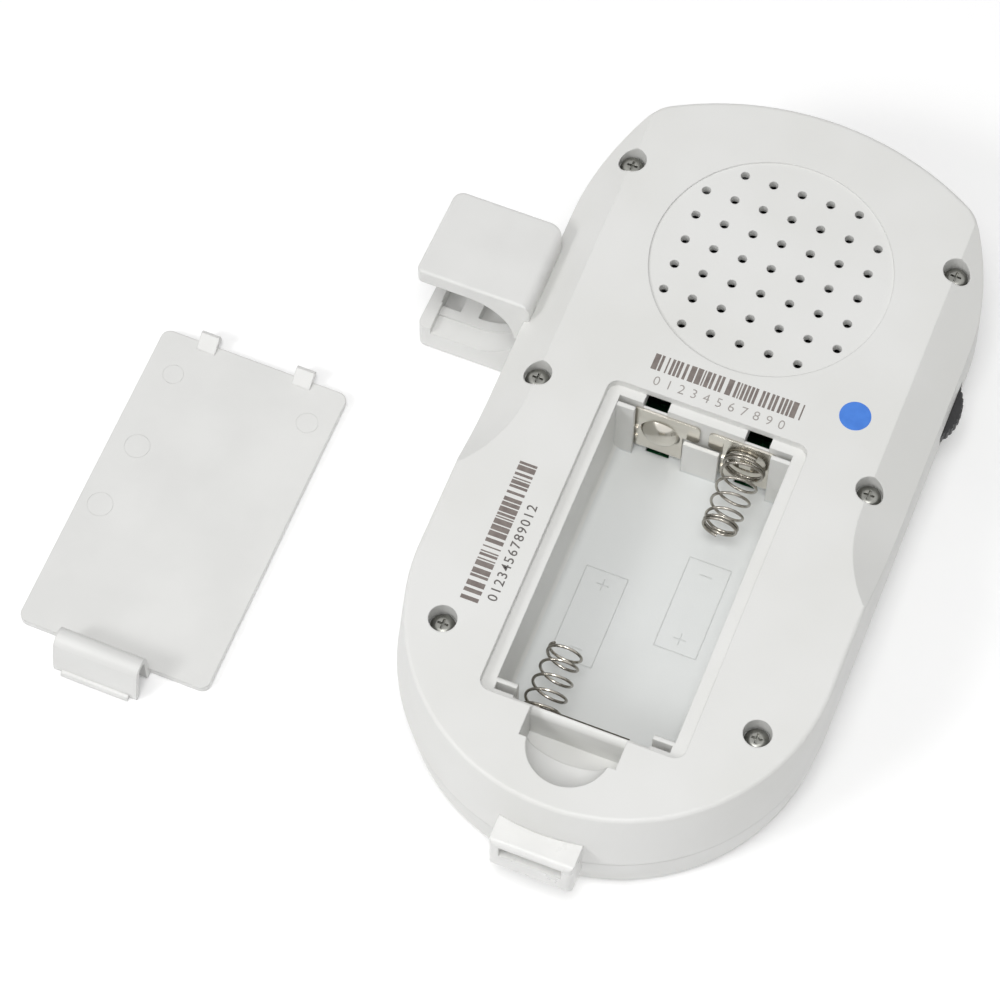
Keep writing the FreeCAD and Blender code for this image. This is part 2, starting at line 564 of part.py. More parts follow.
def battery_door():
    """The loose door: thin panel, two tabs at its top end, spring latch at the other."""
    cx, cy = DOOR_CENTRE
    top_y = cy + DOOR_LENGTH / 2
    end_y = cy - DOOR_LENGTH / 2
    panel = rounded_box(cx - DOOR_HALF_WIDTH, cx + DOOR_HALF_WIDTH, end_y, top_y, 0, DOOR_THICKNESS,
                        DOOR_CORNER_RADIUS)
    panel = panel.makeFillet(0.3, edges_at_z(panel, 0.0))
    under = DOOR_THICKNESS + 0.15
    top = DOOR_THICKNESS + TAB_HEIGHT
    tip_y = top_y + TAB_REACH
    tabs = []
    for side in (-1, 1):
        x = cx + side * TAB_X - TAB_WIDTH / 2
        tabs.append(prism([(x, top_y - 1.6, 1.0), (x, top_y - 1.6, DOOR_THICKNESS + 0.1),
                           (x, tip_y - 0.6, top), (x, tip_y, top - 0.4), (x, tip_y, under),
                           (x, top_y, under), (x, top_y, 1.0)], (TAB_WIDTH, 0, 0)))
    door = panel.fuse(tabs + [door_latch(cx, end_y)])
    return door.rotated(Vector(cx, cy, 0), Vector(0, 0, 1), DOOR_TURN)


def door_latch(cx, end_y):
    """Spring latch: a leg up from the door's end, a bend, and a slanting
    finger that ends in a narrower lip."""
    x0, x1 = cx + LATCH_X[0], cx + LATCH_X[1]
    width = x1 - x0
    outer, inner = 1.9, 1.0
    bend_y, bend_z = end_y - 0.45 - outer, 6.1
    ring = Part.makeCylinder(outer, width, Vector(x0, bend_y, bend_z), Vector(1, 0, 0))
    ring = ring.cut(Part.makeCylinder(inner, width, Vector(x0, bend_y, bend_z), Vector(1, 0, 0)))
    ring = ring.common(box(x0, x1, bend_y - 5, bend_y + 5, bend_z, bend_z + 5))
    inside, outside = bend_y + outer, bend_y + inner
    leg = prism([(x0, end_y + 0.6, 0.2), (x0, end_y + 0.6, DOOR_THICKNESS), (x0, end_y, DOOR_THICKNESS),
                 (x0, inside, 2.3), (x0, inside, bend_z), (x0, outside, bend_z), (x0, outside, 0.9),
                 (x0, outside + 0.5, 0.2)], (width, 0, 0))
    step_y = end_y - 5.3
    finger = prism([(x0, bend_y - inner, bend_z), (x0, bend_y - outer, bend_z), (x0, step_y, 1.5),
                    (x0, step_y, 0.2), (x0, step_y + 0.8, 0.2)], (width, 0, 0))
    lip_x = cx + LATCH_LIP_X[0]
    lip_width = LATCH_LIP_X[1] - LATCH_LIP_X[0]
    lip = prism([(lip_x, step_y + 0.1, 0.2), (lip_x, step_y + 0.1, 1.2), (lip_x, step_y - 0.6, 1.0),
                 (lip_x, step_y - 0.8, 0.2)], (lip_width, 0, 0))
    return leg.fuse([ring, finger, lip])


# ---------------------------------------------------------------- battery contacts
def dome(x, y, z, direction, radius, height):
    """Pressed button on a contact plate."""
    ball = (radius ** 2 + height ** 2) / (2 * height)
    centre = y - direction * (ball - height)
    sphere = Part.makeSphere(ball, Vector(x, centre, z))
    reach = sorted((y - direction * 0.1, y + direction * (height + 1)))
    return sphere.common(box(x - radius, x + radius, reach[0], reach[1], z - radius, z + radius))


def contact_plate(bar_x, body_x, x_lug):
    """Plate with a wide top bar, a narrower body with two small barbs, and a
    lug that passes through the bay wall and turns down to the board."""
    back = BAY_TOP_Y - 0.06
    front = back - CONTACT_THICKNESS
    lug_end = BAY_TOP_Y + 3.4
    foot_z, bar_z, top_z = CONTACT_Z
    bar = box(bar_x[0], bar_x[1], front, back, bar_z, top_z)
    corners = [edge for edge in bar.Edges if abs(edge.tangentAt(edge.FirstParameter).y) > 0.9]
    bar = bar.makeFillet(0.9, corners)
    body = box(body_x[0], body_x[1], front, back, foot_z, top_z - 1.0)
    barbs = [box(body_x[0] + 0.05, body_x[0] + 0.95, front - 0.25, front + 0.1, z, z + 0.7)
             for z in CONTACT_BARBS_Z]
    lug = box(x_lug - 1.3, x_lug + 1.3, front + 0.1, lug_end, LUG_Z, LUG_Z + CONTACT_THICKNESS)
    foot = box(x_lug - 1.3, x_lug + 1.3, lug_end - CONTACT_THICKNESS, lug_end, BOARD_Z[1],
               LUG_Z + CONTACT_THICKNESS)
    return bar.fuse([body, lug, foot] + barbs), front


def positive_contact():
    plate, face = contact_plate((-12.2, -0.8), (-12.2, -3.6), -CELL_PITCH / 2)
    return plate.fuse(dome(-CELL_PITCH / 2, face, CELL_AXIS_Z, -1, 3.4, 1.7))


def negative_contact():
    """Plate with a square tab in its middle that keeps the spring centred."""
    plate, face = contact_plate((0.8, 12.2), (3.1, 11.3), CELL_PITCH / 2)
    x = CELL_PITCH / 2
    return plate.fuse(box(x - 1.0, x + 1.0, face - 0.5, face + 0.1, CELL_AXIS_Z - 1.0, CELL_AXIS_Z + 1.0))


def bridge_contact():
    """Joins the two cells at the bottom end of the bay."""
    back = BAY_BOTTOM_Y + 0.06
    front = back + CONTACT_THICKNESS
    plate = box(-10.6, 10.6, back, front, 9.0, CONTACT_Z[2])
    tongue = box(-7.0, 8.0, back, front, CONTACT_Z[2] - 0.1, BRIDGE_TOP_Z)
    return plate.fuse([tongue, dome(CELL_PITCH / 2, front, CELL_AXIS_Z, 1, 3.4, 1.7)])


def spring_advance(turn, plate_turns, open_turns):
    """How far along its axis a spring has got after a number of turns."""
    opened = min(max(turn - plate_turns, 0.0), open_turns)
    return opened * SPRING_PITCH + (turn - opened) * SPRING_CLOSED_PITCH


def coil_spring(x, plate_y, direction, spring):
    """Tapered spring along Y: close turns on the plate, open turns, and close
    turns at the free tip. Direction is 1 or -1 along Y."""
    length, plate_turns, tip_turns = spring
    closed_turns = plate_turns + tip_turns
    open_turns = (length - closed_turns * SPRING_CLOSED_PITCH) / SPRING_PITCH
    turns = closed_turns + open_turns
    plate_radius, tip_radius = SPRING_RADII
    steps = round(turns * 24)
    line = []
    for step in range(steps + 1):
        turn = turns * step / steps
        advance = spring_advance(turn, plate_turns, open_turns)
        radius = plate_radius + (tip_radius - plate_radius) * advance / length
        angle = math.radians(SPRING_START) + 2 * math.pi * turn
        line.append(Vector(radius * math.cos(angle), radius * math.sin(angle), advance))
    path = Part.BSplineCurve()
    path.interpolate(line)
    section = spring_section(line[0], math.radians(SPRING_START))
    coil = Part.Wire([path.toShape()]).makePipeShell([section], True, True)
    coil.rotate(Vector(0, 0, 0), Vector(1, 0, 0), -90 * direction)
    coil.translate(Vector(x, plate_y + direction * (SPRING_WIRE_RADIUS + 0.02), CELL_AXIS_Z))
    return coil


def spring_section(start, angle):
    """The wire's outline at the spring's start, square to the wire."""
    outward = Vector(math.cos(angle), math.sin(angle), 0)
    corners = []
    for side in range(SPRING_WIRE_SIDES + 1):
        turn = 2 * math.pi * side / SPRING_WIRE_SIDES
        corners.append(start + outward * (SPRING_WIRE_RADIUS * math.cos(turn))
                       + Vector(0, 0, SPRING_WIRE_RADIUS * math.sin(turn)))
    return Part.makePolygon(corners)


def negative_spring():
    return coil_spring(CELL_PITCH / 2, BAY_TOP_Y - 0.06 - CONTACT_THICKNESS, -1, NEGATIVE_SPRING)


def bridge_spring():
    return coil_spring(-CELL_PITCH / 2 - 0.15, BAY_BOTTOM_Y + 0.06 + CONTACT_THICKNESS, 1, BRIDGE_SPRING)


# ---------------------------------------------------------------- loudspeaker
def speaker_gasket():
    z = SPEAKER_FACE_Z
    ring = post(0, SPEAKER_Y, z, z + GASKET_THICKNESS, SPEAKER_RADIUS - 0.2)
    return ring.cut(post(0, SPEAKER_Y, z - 1, z + 2, SPEAKER_RADIUS - 1.9))


def speaker_frame():
    """Pressed steel basket: flange, slanted wall with windows and a back plate."""
    flange_z = SPEAKER_FACE_Z - 0.8
    back_z = 16.0
    flange = post(0, SPEAKER_Y, flange_z, SPEAKER_FACE_Z, SPEAKER_RADIUS)
    centre = Vector(0, SPEAKER_Y, back_z)
    wall = Part.makeCone(11.5, 18.4, flange_z - back_z + 0.1, centre)
    frame = flange.fuse(wall)
    inner = Part.makeCone(11.3, 19.1, flange_z - back_z + 0.8, Vector(0, SPEAKER_Y, back_z + 0.8))
    frame = frame.cut([inner, post(0, SPEAKER_Y, flange_z - 0.1, SPEAKER_FACE_Z + 1, 17.5),
                       post(0, SPEAKER_Y, back_z - 1, back_z + 3, 7.2)])
    window = box(12.0, 20.0, -3.0, 3.0, back_z + 1.4, flange_z - 0.8)
    window.translate(Vector(0, SPEAKER_Y, 0))
    cuts = [window.rotated(Vector(0, SPEAKER_Y, 0), Vector(0, 0, 1), 45 + 90 * turn) for turn in range(4)]
    return frame.cut(cuts)


def speaker_magnet():
    """Magnet and pole plates behind the basket, open for the voice coil."""
    magnet = post(0, SPEAKER_Y, 11.2, 16.0, 9.0)
    gap = post(0, SPEAKER_Y, 12.4, 16.5, 7.0).cut(post(0, SPEAKER_Y, 12.0, 17.0, 5.6))
    return magnet.cut(gap)


def speaker_cone():
    """Paper cone with its surround, dust cap and voice-coil former."""
    outer = Part.makeCone(6.6, 15.9, 4.1, Vector(0, SPEAKER_Y, 17.4))
    inner = Part.makeCone(6.3, 15.6, 4.1, Vector(0, SPEAKER_Y, 17.75))
    cone = outer.cut(inner)
    former = post(0, SPEAKER_Y, 13.2, 17.8, 6.6).cut(post(0, SPEAKER_Y, 13.0, 18.0, 6.0))
    cap_radius, cap_height = 7.0, 1.8
    ball = (cap_radius ** 2 + cap_height ** 2) / (2 * cap_height)
    centre = Vector(0, SPEAKER_Y, 17.9 + cap_height - ball)
    cap = Part.makeSphere(ball, centre).cut(Part.makeSphere(ball - 0.3, centre))
    cap = cap.common(post(0, SPEAKER_Y, 17.7, 21.0, 6.9))
    return cone.fuse([former, cap])


def speaker_screws():
    screws = []
    for x, y in speaker_screw_sites():
        head = post(x, y, 19.8, 21.4, 1.7)
        washer = post(x, y, 20.9, 21.38, 2.75)
        shank = post(x, y, 21.0, 23.9, 0.9)
        screws.append(head.fuse([washer, shank]))
    return Part.makeCompound(screws)


# ---------------------------------------------------------------- volume control
def volume_wheel():
    x, y = WHEEL_CENTRE
    wheel = post(x, y, WHEEL_Z[0], WHEEL_Z[1], WHEEL_RADIUS)
    rims = edges_at_z(wheel, WHEEL_Z[0]) + edges_at_z(wheel, WHEEL_Z[1])
    wheel = wheel.makeChamfer(0.3, rims)
    grooves = []
    for index in range(WHEEL_KNURLS):
        turn = 2 * math.pi * index / WHEEL_KNURLS
        groove_x = x + (WHEEL_RADIUS + 0.1) * math.cos(turn)
        groove_y = y + (WHEEL_RADIUS + 0.1) * math.sin(turn)
        grooves.append(post(groove_x, groove_y, WHEEL_Z[0] - 1, WHEEL_Z[1] + 1, 0.34))
    return wheel.cut(grooves + [post(x, y, WHEEL_Z[0] - 1, WHEEL_Z[1] + 1, SHAFT_RADIUS + 0.01)])


def wheel_shaft():
    x, y = WHEEL_CENTRE
    return post(x, y, 7.4, WHEEL_Z[1] + 0.4, SHAFT_RADIUS)


def volume_potentiometer():
    x, y = WHEEL_CENTRE
    body = box(x - 5.4, x + 3.4, y - 5.0, y + 5.0, BOARD_Z[1], 10.6)
    collar = post(x, y, 10.5, 11.8, 3.2)
    legs = [box(x - 6.4, x - 5.3, y + step - 0.4, y + step + 0.4, BOARD_Z[1], 7.2) for step in (-3, 0, 3)]
    return body.fuse([collar] + legs).cut(post(x, y, 7.0, 12.0, SHAFT_RADIUS + RUNNING_GAP))


# ---------------------------------------------------------------- board and parts
def board_screw_sites():
    return [(-22.5, -20.0), (22.5, -20.0), (-20.5, 55.5), (20.5, 55.5)]


def main_board():
    edge = grown(AT_PARTING, BOARD_INSET)
    board = stack(edge, BOARD_Z[0], edge, BOARD_Z[1])
    cuts = [post(x, y, 4, 8, BOSS_RADIUS + 0.4) for x, y in SCREW_SITES]
    cuts += [post(x, y, 4, 8, 1.05) for x, y in board_screw_sites()]
    cuts.append(box(-10, 10, -70, -61.0, 4, 8))
    for side in (-1, 1):
        notch = JACK_NOSE_RADIUS + 0.3
        cuts.append(box(side * JACK_X - notch, side * JACK_X + notch, 60.9, 70, 4, 8))
    return board.cut(cuts)


def board_screws():
    screws = []
    for x, y in board_screw_sites():
        head = post(x, y, BOARD_Z[1], BOARD_Z[1] + 1.2, 1.8)
        head = head.makeFillet(0.5, edges_at_z(head, BOARD_Z[1] + 1.2))
        screw = head.fuse(post(x, y, 1.9, BOARD_Z[1] + 0.1, 0.85))
        screws.append(cross_recess(screw, x, y, BOARD_Z[1] + 1.2, 1.0))
    return Part.makeCompound(screws)


def chip(x, y, half_x, half_y, height, pins, pitch):
    """Flat chip with gull-wing pins along the two sides that face X."""
    z = BOARD_Z[1]
    body = box(x - half_x, x + half_x, y - half_y, y + half_y, z + 0.15, z + height)
    legs = []
    for index in range(pins):
        offset = (index - (pins - 1) / 2) * pitch
        for side in (-1, 1):
            reach = sorted((x + side * (half_x - 0.2), x + side * (half_x + 1.0)))
            legs.append(box(reach[0], reach[1], y + offset - 0.2, y + offset + 0.2, z, z + 0.4))
    return body.fuse(legs)


def processor_chip():
    return chip(-9.0, 21.0, 5.0, 5.0, 1.5, 9, 1.0)


def amplifier_chip():
    return chip(10.0, 19.0, 2.0, 2.5, 1.6, 4, 1.27)


def capacitors():
    cans = []
    for x, y, radius, height in [(-23.0, 14.0, 3.1, 8.0), (20.5, 16.5, 2.5, 7.0), (0.0, 55.5, 2.5, 7.0)]:
        can = post(x, y, BOARD_Z[1], BOARD_Z[1] + height, radius)
        cans.append(can.makeFillet(0.5, edges_at_z(can, BOARD_Z[1] + height)))
    return Part.makeCompound(cans)


def crystal():
    can = rounded_box(-2.0, 9.0, 27.0, 31.6, BOARD_Z[1], BOARD_Z[1] + 3.5, 2.2)
    return can.makeFillet(0.4, edges_at_z(can, BOARD_Z[1] + 3.5))


def jack(side):
    """3.5 mm socket: body on the board and a round nose in the end wall."""
    x = side * JACK_X
    body = box(x - 3.2, x + 3.2, 50.5, 61.8, BOARD_Z[1], 10.6)
    nose = along_y(x, JACK_Z, 61.0, JACK_FACE_Y, JACK_NOSE_RADIUS)
    return body.fuse(nose).cut(along_y(x, JACK_Z, JACK_FACE_Y - JACK_DEPTH, 70.0, JACK_BORE_RADIUS))


# ---------------------------------------------------------------- display
def lcd_window():
    half_x, half_y = DISPLAY_HALF
    pane = rounded_box(-half_x - 1.9, half_x + 1.9, DISPLAY_CENTRE_Y - half_y - 1.9,
                       DISPLAY_CENTRE_Y + half_y + 1.9, 0.1, 0.9, 2.4)
    return pane


def display_layer(extra_x, extra_y, z0, z1):
    half_x, half_y = DISPLAY_HALF
    return box(-half_x - extra_x, half_x + extra_x, DISPLAY_CENTRE_Y - half_y - extra_y,
               DISPLAY_CENTRE_Y + half_y + extra_y, z0, z1)


def lcd_glass():
    return display_layer(1.0, 2.0, 2.1, 3.9)


def lcd_backlight():
    return display_layer(0.6, -0.6, 3.95, 4.9)


def lcd_connector():
    """Elastomer strip between the glass and the board."""
    y = DISPLAY_CENTRE_Y - DISPLAY_HALF[1] - 1.5
    return box(-18.0, 18.0, y - 0.4, y + 1.5, 3.95, 4.95)


# ---------------------------------------------------------------- buttons
def button(name):
    x, y, radius = BUTTONS[name]
    cap = post(x, y, BUTTON_FACE_Z, BUTTON_FLANGE_Z[0] + 0.2, radius)
    cap = cap.makeFillet(0.5, edges_at_z(cap, BUTTON_FACE_Z))
    return cap.fuse(post(x, y, BUTTON_FLANGE_Z[0], BUTTON_FLANGE_Z[1], radius + 1.2))


def plunger(name):
    x, y, _ = BUTTONS[name]
    return post(x, y, BUTTON_FLANGE_Z[1], 4.0, PLUNGER_RADIUS)


def button_switches():
    bodies = []
    for x, y, _ in BUTTONS.values():
        body = box(x - 3.0, x + 3.0, y - 3.0, y + 3.0, 3.4, BOARD_Z[0])
        bodies.append(body.cut(post(x, y, 3.0, 4.7, PLUNGER_RADIUS + RUNNING_GAP)))
    return Part.makeCompound(bodies)


# ---------------------------------------------------------------- build
NODES = {
    "rear_cover": rear_cover,
    "front_cover": front_cover,
    "case_screws": case_screws,
    "probe_holder": probe_holder,
    "strap_eye": strap_eye,
    "battery_door": battery_door,
    "positive_contact": positive_contact,
    "negative_contact": negative_contact,
    "negative_spring": negative_spring,
    "bridge_contact": bridge_contact,
    "bridge_spring": bridge_spring,
    "speaker_gasket": speaker_gasket,
    "speaker_frame": speaker_frame,
    "speaker_magnet": speaker_magnet,
    "speaker_cone": speaker_cone,
    "speaker_screws": speaker_screws,
    "volume_wheel": volume_wheel,
    "wheel_shaft": wheel_shaft,
    "volume_potentiometer": volume_potentiometer,
    "main_board": main_board,
    "board_screws": board_screws,
    "processor_chip": processor_chip,
    "amplifier_chip": amplifier_chip,
    "capacitors": capacitors,
    "crystal": crystal,
    "headphone_jack": lambda: jack(-1),
    "probe_socket": lambda: jack(1),
    "lcd_window": lcd_window,
    "lcd_glass": lcd_glass,
    "lcd_backlight": lcd_backlight,
    "lcd_connector": lcd_connector,
    "button_switches": button_switches,
}
for button_name in BUTTONS:
    NODES[button_name + "_button"] = lambda name=button_name: button(name)
    NODES[button_name + "_plunger"] = lambda name=button_name: plunger(name)

os.makedirs("parts", exist_ok=True)
for node, make in NODES.items():
    shape = make()
    if shape.ShapeType != "Compound":
        shape = shape.removeSplitter()
    shape.exportStep("parts/" + node + ".step")
    print(node, "solids", len(shape.Solids), "valid", shape.isValid(), "volume", round(shape.Volume, 1))
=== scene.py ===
# %% [markdown]
# # A pocket fetal doppler monitor, lying on its face
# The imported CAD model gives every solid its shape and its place. This lesson dresses it: it
# says what each piece is made of, prints the ink on the back, raises the marks that the
# moulds leave on the battery door and in the battery bay, and lights it all on a studio's
# white table. Everything is in the CAD model's own frame, so nothing is fitted by hand.

# %% Load the frame
import math
import random

import bmesh
import bpy
from mathutils import Matrix, Vector


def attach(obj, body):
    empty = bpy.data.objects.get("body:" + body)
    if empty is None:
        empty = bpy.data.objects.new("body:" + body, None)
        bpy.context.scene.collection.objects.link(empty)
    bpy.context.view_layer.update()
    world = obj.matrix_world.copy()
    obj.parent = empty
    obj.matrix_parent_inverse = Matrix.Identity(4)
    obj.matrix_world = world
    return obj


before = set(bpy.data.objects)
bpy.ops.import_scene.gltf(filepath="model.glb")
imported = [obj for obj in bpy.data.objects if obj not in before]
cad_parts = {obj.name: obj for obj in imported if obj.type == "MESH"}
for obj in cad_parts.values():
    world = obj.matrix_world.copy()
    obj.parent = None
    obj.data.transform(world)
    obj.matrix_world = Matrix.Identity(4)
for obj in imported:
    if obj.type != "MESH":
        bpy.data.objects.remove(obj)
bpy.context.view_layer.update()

# %% [markdown]
# ## Camera
# A product shot is taken from far back with a long lens, so that edges stay nearly
# parallel: here 143 mm from two thirds of a metre. A constraint could aim the camera, but
# plain numbers for its place and its turn keep the frame fixed whatever is added later. It
# looks down steeply and is turned a little round the object, which puts the loudspeaker end
# at the top right.

# %% Camera
MM = 0.001
CAMERA_PLACE = (74.44, -278.80, 590.25)
CAMERA_TURN = (26.161, -0.303, 21.715)

lens = bpy.data.cameras.new("product_lens")
lens.lens = 142.97
lens.sensor_width = 36.0
lens.clip_start, lens.clip_end = 0.01, 20.0
camera = bpy.data.objects.new("product_camera", lens)
camera.location = Vector(CAMERA_PLACE) * MM
camera.rotation_euler = [math.radians(angle) for angle in CAMERA_TURN]
bpy.context.scene.collection.objects.link(camera)
bpy.context.scene.camera = camera
print("camera", round(camera.location.length, 3), "m from the object")

# %% [markdown]
# ## Small helpers
# Colours are written as sRGB hex values, the way a paint chart gives them, and one function
# turns them into the linear values that Blender mixes. A second function adds one shader
# node, sets its choices and joins its sockets, so that a material reads as a short recipe.
# A Mix node numbers its sockets, and five names make those numbers readable.

# %% Colour and node helpers
FACTOR, NUMBER_A, NUMBER_B, COLOUR_A, COLOUR_B = 0, 2, 3, 6, 7
MIXED_NUMBER, MIXED_COLOUR = 0, 2


def linear(code):
    """Linear RGBA from an sRGB hex value such as #DEDEDC."""
    parts = [int(code[i:i + 2], 16) / 255 for i in (1, 3, 5)]
    return [part / 12.92 if part <= 0.04045 else ((part + 0.055) / 1.055) ** 2.4
            for part in parts] + [1.0]


def add(tree, kind, sockets=None, **choices):
    """One shader node. A socket takes a plain value or another node's output."""
    node = tree.nodes.new("ShaderNode" + kind)
    for choice, value in choices.items():
        setattr(node, choice, value)
    for name, value in (sockets or {}).items():
        if isinstance(value, bpy.types.NodeSocket):
            tree.links.new(value, node.inputs[name])
        else:
            node.inputs[name].default_value = value
    return node


def per_metre(size_mm):
    """Scale of a pattern whose features are that many millimetres across."""
    return 1000.0 / size_mm


BLACK, WHITE = linear("#000000"), linear("#FFFFFF")
print("warm white in linear light:", [round(c, 3) for c in linear("#DEDEDC")])

# %% [markdown]
# ## Sky
# The studio around the table is plain white. It could be built as walls, but a bright world
# does the same. The camera, metal and glass see it at full white, while the object gets
# only a third of that as light, so that its pale plastic keeps its tone.

# %% Sky
SKY_LEVEL = 0.34


def backdrop_rays(tree):
    """1 for rays that show the backdrop: the camera's, and those in metal and glass."""
    path = add(tree, "LightPath")
    seen = add(tree, "Math", {0: path.outputs["Is Camera Ray"],
                              1: path.outputs["Is Glossy Ray"]}, operation="MAXIMUM")
    seen = add(tree, "Math", {0: seen.outputs[0],
                              1: path.outputs["Is Transmission Ray"]}, operation="MAXIMUM")
    return seen.outputs[0]


world = bpy.data.worlds.new("studio_sky")
world.use_nodes = True
sky = world.node_tree
background = sky.nodes["Background"]
level = add(sky, "MapRange", {"Value": backdrop_rays(sky), "To Min": SKY_LEVEL, "To Max": 1.0})
sky.links.new(level.outputs["Result"], background.inputs["Strength"])
background.inputs["Color"].default_value = WHITE
bpy.context.scene.world = world
print("sky lights the object at", SKY_LEVEL)

# %% [markdown]
# ## Table
# The table is matt white paper. More light would take it to pure white, but would burn out
# the plastic too. So the paper has a little glow of its own, seen only by the camera and in
# reflections, which makes it white wherever no shadow falls.

# %% Table
PAPER_GLOW = 0.13
TABLE_SIDE = 6.0
TABLE_DROP_MM = 0.05

paper = bpy.data.materials.new("white_studio_paper")
paper.use_nodes = True
tree = paper.node_tree
shader = tree.nodes["Principled BSDF"]
shader.inputs["Base Color"].default_value = linear("#F6F6F6")
shader.inputs["Roughness"].default_value = 0.9
shader.inputs["Specular IOR Level"].default_value = 0.2
shader.inputs["Emission Color"].default_value = WHITE
glow = add(tree, "Math", {0: backdrop_rays(tree), 1: PAPER_GLOW}, operation="MULTIPLY")
tree.links.new(glow.outputs[0], shader.inputs["Emission Strength"])

bpy.ops.mesh.primitive_plane_add(size=TABLE_SIDE, location=(0, 0, -TABLE_DROP_MM * MM))
table = bpy.context.object
table.name = "studio_table"
table.data.materials.append(paper)
print("table", TABLE_SIDE, "m wide")

# %% [markdown]
# ## Lamps
# One huge softbox could light all of it, but then nothing would cast a shadow. So a compact
# key lamp hangs a little in front of straight above: it draws the small firm shadows under
# the latch and the probe holder, and still reaches into the deep battery bay. A two-metre
# softbox softens them, and a lamp low on the left models the walls and the door's latch.

# %% Lamps
LAMPS = {  # place in metres, side in metres, power in watts
    "softbox_key": ((0.04, -0.33, 1.2), 0.4, 6.0),
    "softbox_above": ((0.0, -0.3, 1.2), 2.0, 4.0),
    "softbox_low_left": ((-0.7, -0.8, 0.9), 0.35, 4.6),
}
LAMP_AIM = Vector((0.0, 0.0, 0.0))

for name, (place, side, watts) in LAMPS.items():
    lamp = bpy.data.lights.new(name, "AREA")
    lamp.size = side
    lamp.energy = watts
    holder = bpy.data.objects.new(name, lamp)
    holder.location = place
    holder.rotation_euler = (LAMP_AIM - Vector(place)).to_track_quat("-Z", "Y").to_euler()
    bpy.context.scene.collection.objects.link(holder)
bpy.context.scene.view_settings.view_transform = "Standard"
print(len(LAMPS), "square lamps")

# %% [markdown]
# ## What every finish shares
# A moulded, rolled or pressed surface is never one flat colour. It has a faint cloud of
# lighter and darker tone, gloss that comes and goes, a fine grain, and edges that are
# slightly rounded off. An unwrapped texture could hold all that, but noise at a real size
# needs no unwrapping and fits any shape. One function lays the four down, and returns what
# a finish needs to add something of its own.

# %% The shared surface
SHEEN_PER_TONE = 0.45


def surface(name, tones, tone_mm, roughness, grain_mm, grain_depth_mm, edge_mm=0.15,
            stretch=(1, 1, 1), **constants):
    """Tone, gloss, grain and softened edges. Constants go straight onto the shader."""
    material = bpy.data.materials.new(name)
    material.use_nodes = True
    tree = material.node_tree
    shader = tree.nodes["Principled BSDF"]
    for socket, value in constants.items():
        shader.inputs[socket.replace("_", " ")].default_value = value
    where = add(tree, "TexCoord").outputs["Object"]
    run = add(tree, "Mapping", {"Vector": where, "Scale": stretch}).outputs["Vector"]
    cloud = add(tree, "TexNoise", {"Vector": run, "Scale": per_metre(tone_mm), "Detail": 3.0})
    share = add(tree, "MapRange", {"Value": cloud.outputs[0], "From Min": 0.35, "From Max": 0.65})
    tone = add(tree, "Mix", {FACTOR: share.outputs[0], COLOUR_A: linear(tones[0]),
                             COLOUR_B: linear(tones[1])}, data_type="RGBA")
    sheen = add(tree, "TexNoise", {"Vector": run, "Scale": per_metre(tone_mm * SHEEN_PER_TONE),
                                   "Detail": 4.0})
    gloss = add(tree, "MapRange", {"Value": sheen.outputs[0], "From Min": 0.3, "From Max": 0.7,
                                   "To Min": roughness[0], "To Max": roughness[1]})
    grain = add(tree, "TexNoise", {"Vector": run, "Scale": per_metre(grain_mm), "Detail": 2.0})
    edge = add(tree, "Bevel", {"Radius": edge_mm * MM}, samples=4)
    relief = add(tree, "Bump", {"Height": grain.outputs[0], "Distance": grain_depth_mm * MM,
                                "Normal": edge.outputs[0]})
    tree.links.new(tone.outputs[MIXED_COLOUR], shader.inputs["Base Color"])
    tree.links.new(gloss.outputs[0], shader.inputs["Roughness"])
    tree.links.new(relief.outputs[0], shader.inputs["Normal"])
    return {"material": material, "tree": tree, "shader": shader, "where": where,
            "tone": tone.outputs[MIXED_COLOUR], "gloss": gloss.outputs[0], "relief": relief}


print("surface recipe: tone, gloss, grain and edges")

# %% [markdown]
# ## Masks and patches
# Some pieces carry two finishes, such as a black chip with tinned pins. They could be split
# into two materials face by face, but a CAD solid has one slot and its mesh stays as it is.
# So a mask picks out a box in the object's own frame, and a patch changes the finish there.


# %% Masks and patches
def within(finish, low_mm, high_mm):
    """1 inside a box given by two corners in millimetres, and 0 outside it."""
    tree = finish["tree"]
    centre = [(low + high) / 2 * MM for low, high in zip(low_mm, high_mm)]
    half = [(high - low) / 2 * MM for low, high in zip(low_mm, high_mm)]
    offset = add(tree, "VectorMath", {0: finish["where"], 1: centre}, operation="SUBTRACT")
    reach = add(tree, "VectorMath", {0: offset.outputs[0]}, operation="ABSOLUTE")
    over = add(tree, "VectorMath", {0: reach.outputs[0], 1: half}, operation="SUBTRACT")
    part = add(tree, "SeparateXYZ", {0: over.outputs[0]})
    larger = add(tree, "Math", {0: part.outputs[0], 1: part.outputs[1]}, operation="MAXIMUM")
    largest = add(tree, "Math", {0: larger.outputs[0], 1: part.outputs[2]}, operation="MAXIMUM")
    return add(tree, "Math", {0: largest.outputs[0], 1: 0.0}, operation="LESS_THAN").outputs[0]


def patch(finish, mask, code, gloss=None):
    """Where the mask is 1, another colour and, if given, another roughness take over."""
    tree, shader = finish["tree"], finish["shader"]
    mixed = add(tree, "Mix", {FACTOR: mask, COLOUR_A: finish["tone"], COLOUR_B: linear(code)},
                data_type="RGBA")
    finish["tone"] = mixed.outputs[MIXED_COLOUR]
    tree.links.new(finish["tone"], shader.inputs["Base Color"])
    if gloss is not None:
        mixed = add(tree, "Mix", {FACTOR: mask, NUMBER_A: finish["gloss"], NUMBER_B: gloss})
        finish["gloss"] = mixed.outputs[MIXED_NUMBER]
        tree.links.new(finish["gloss"], shader.inputs["Roughness"])


print("masks and patches ready")

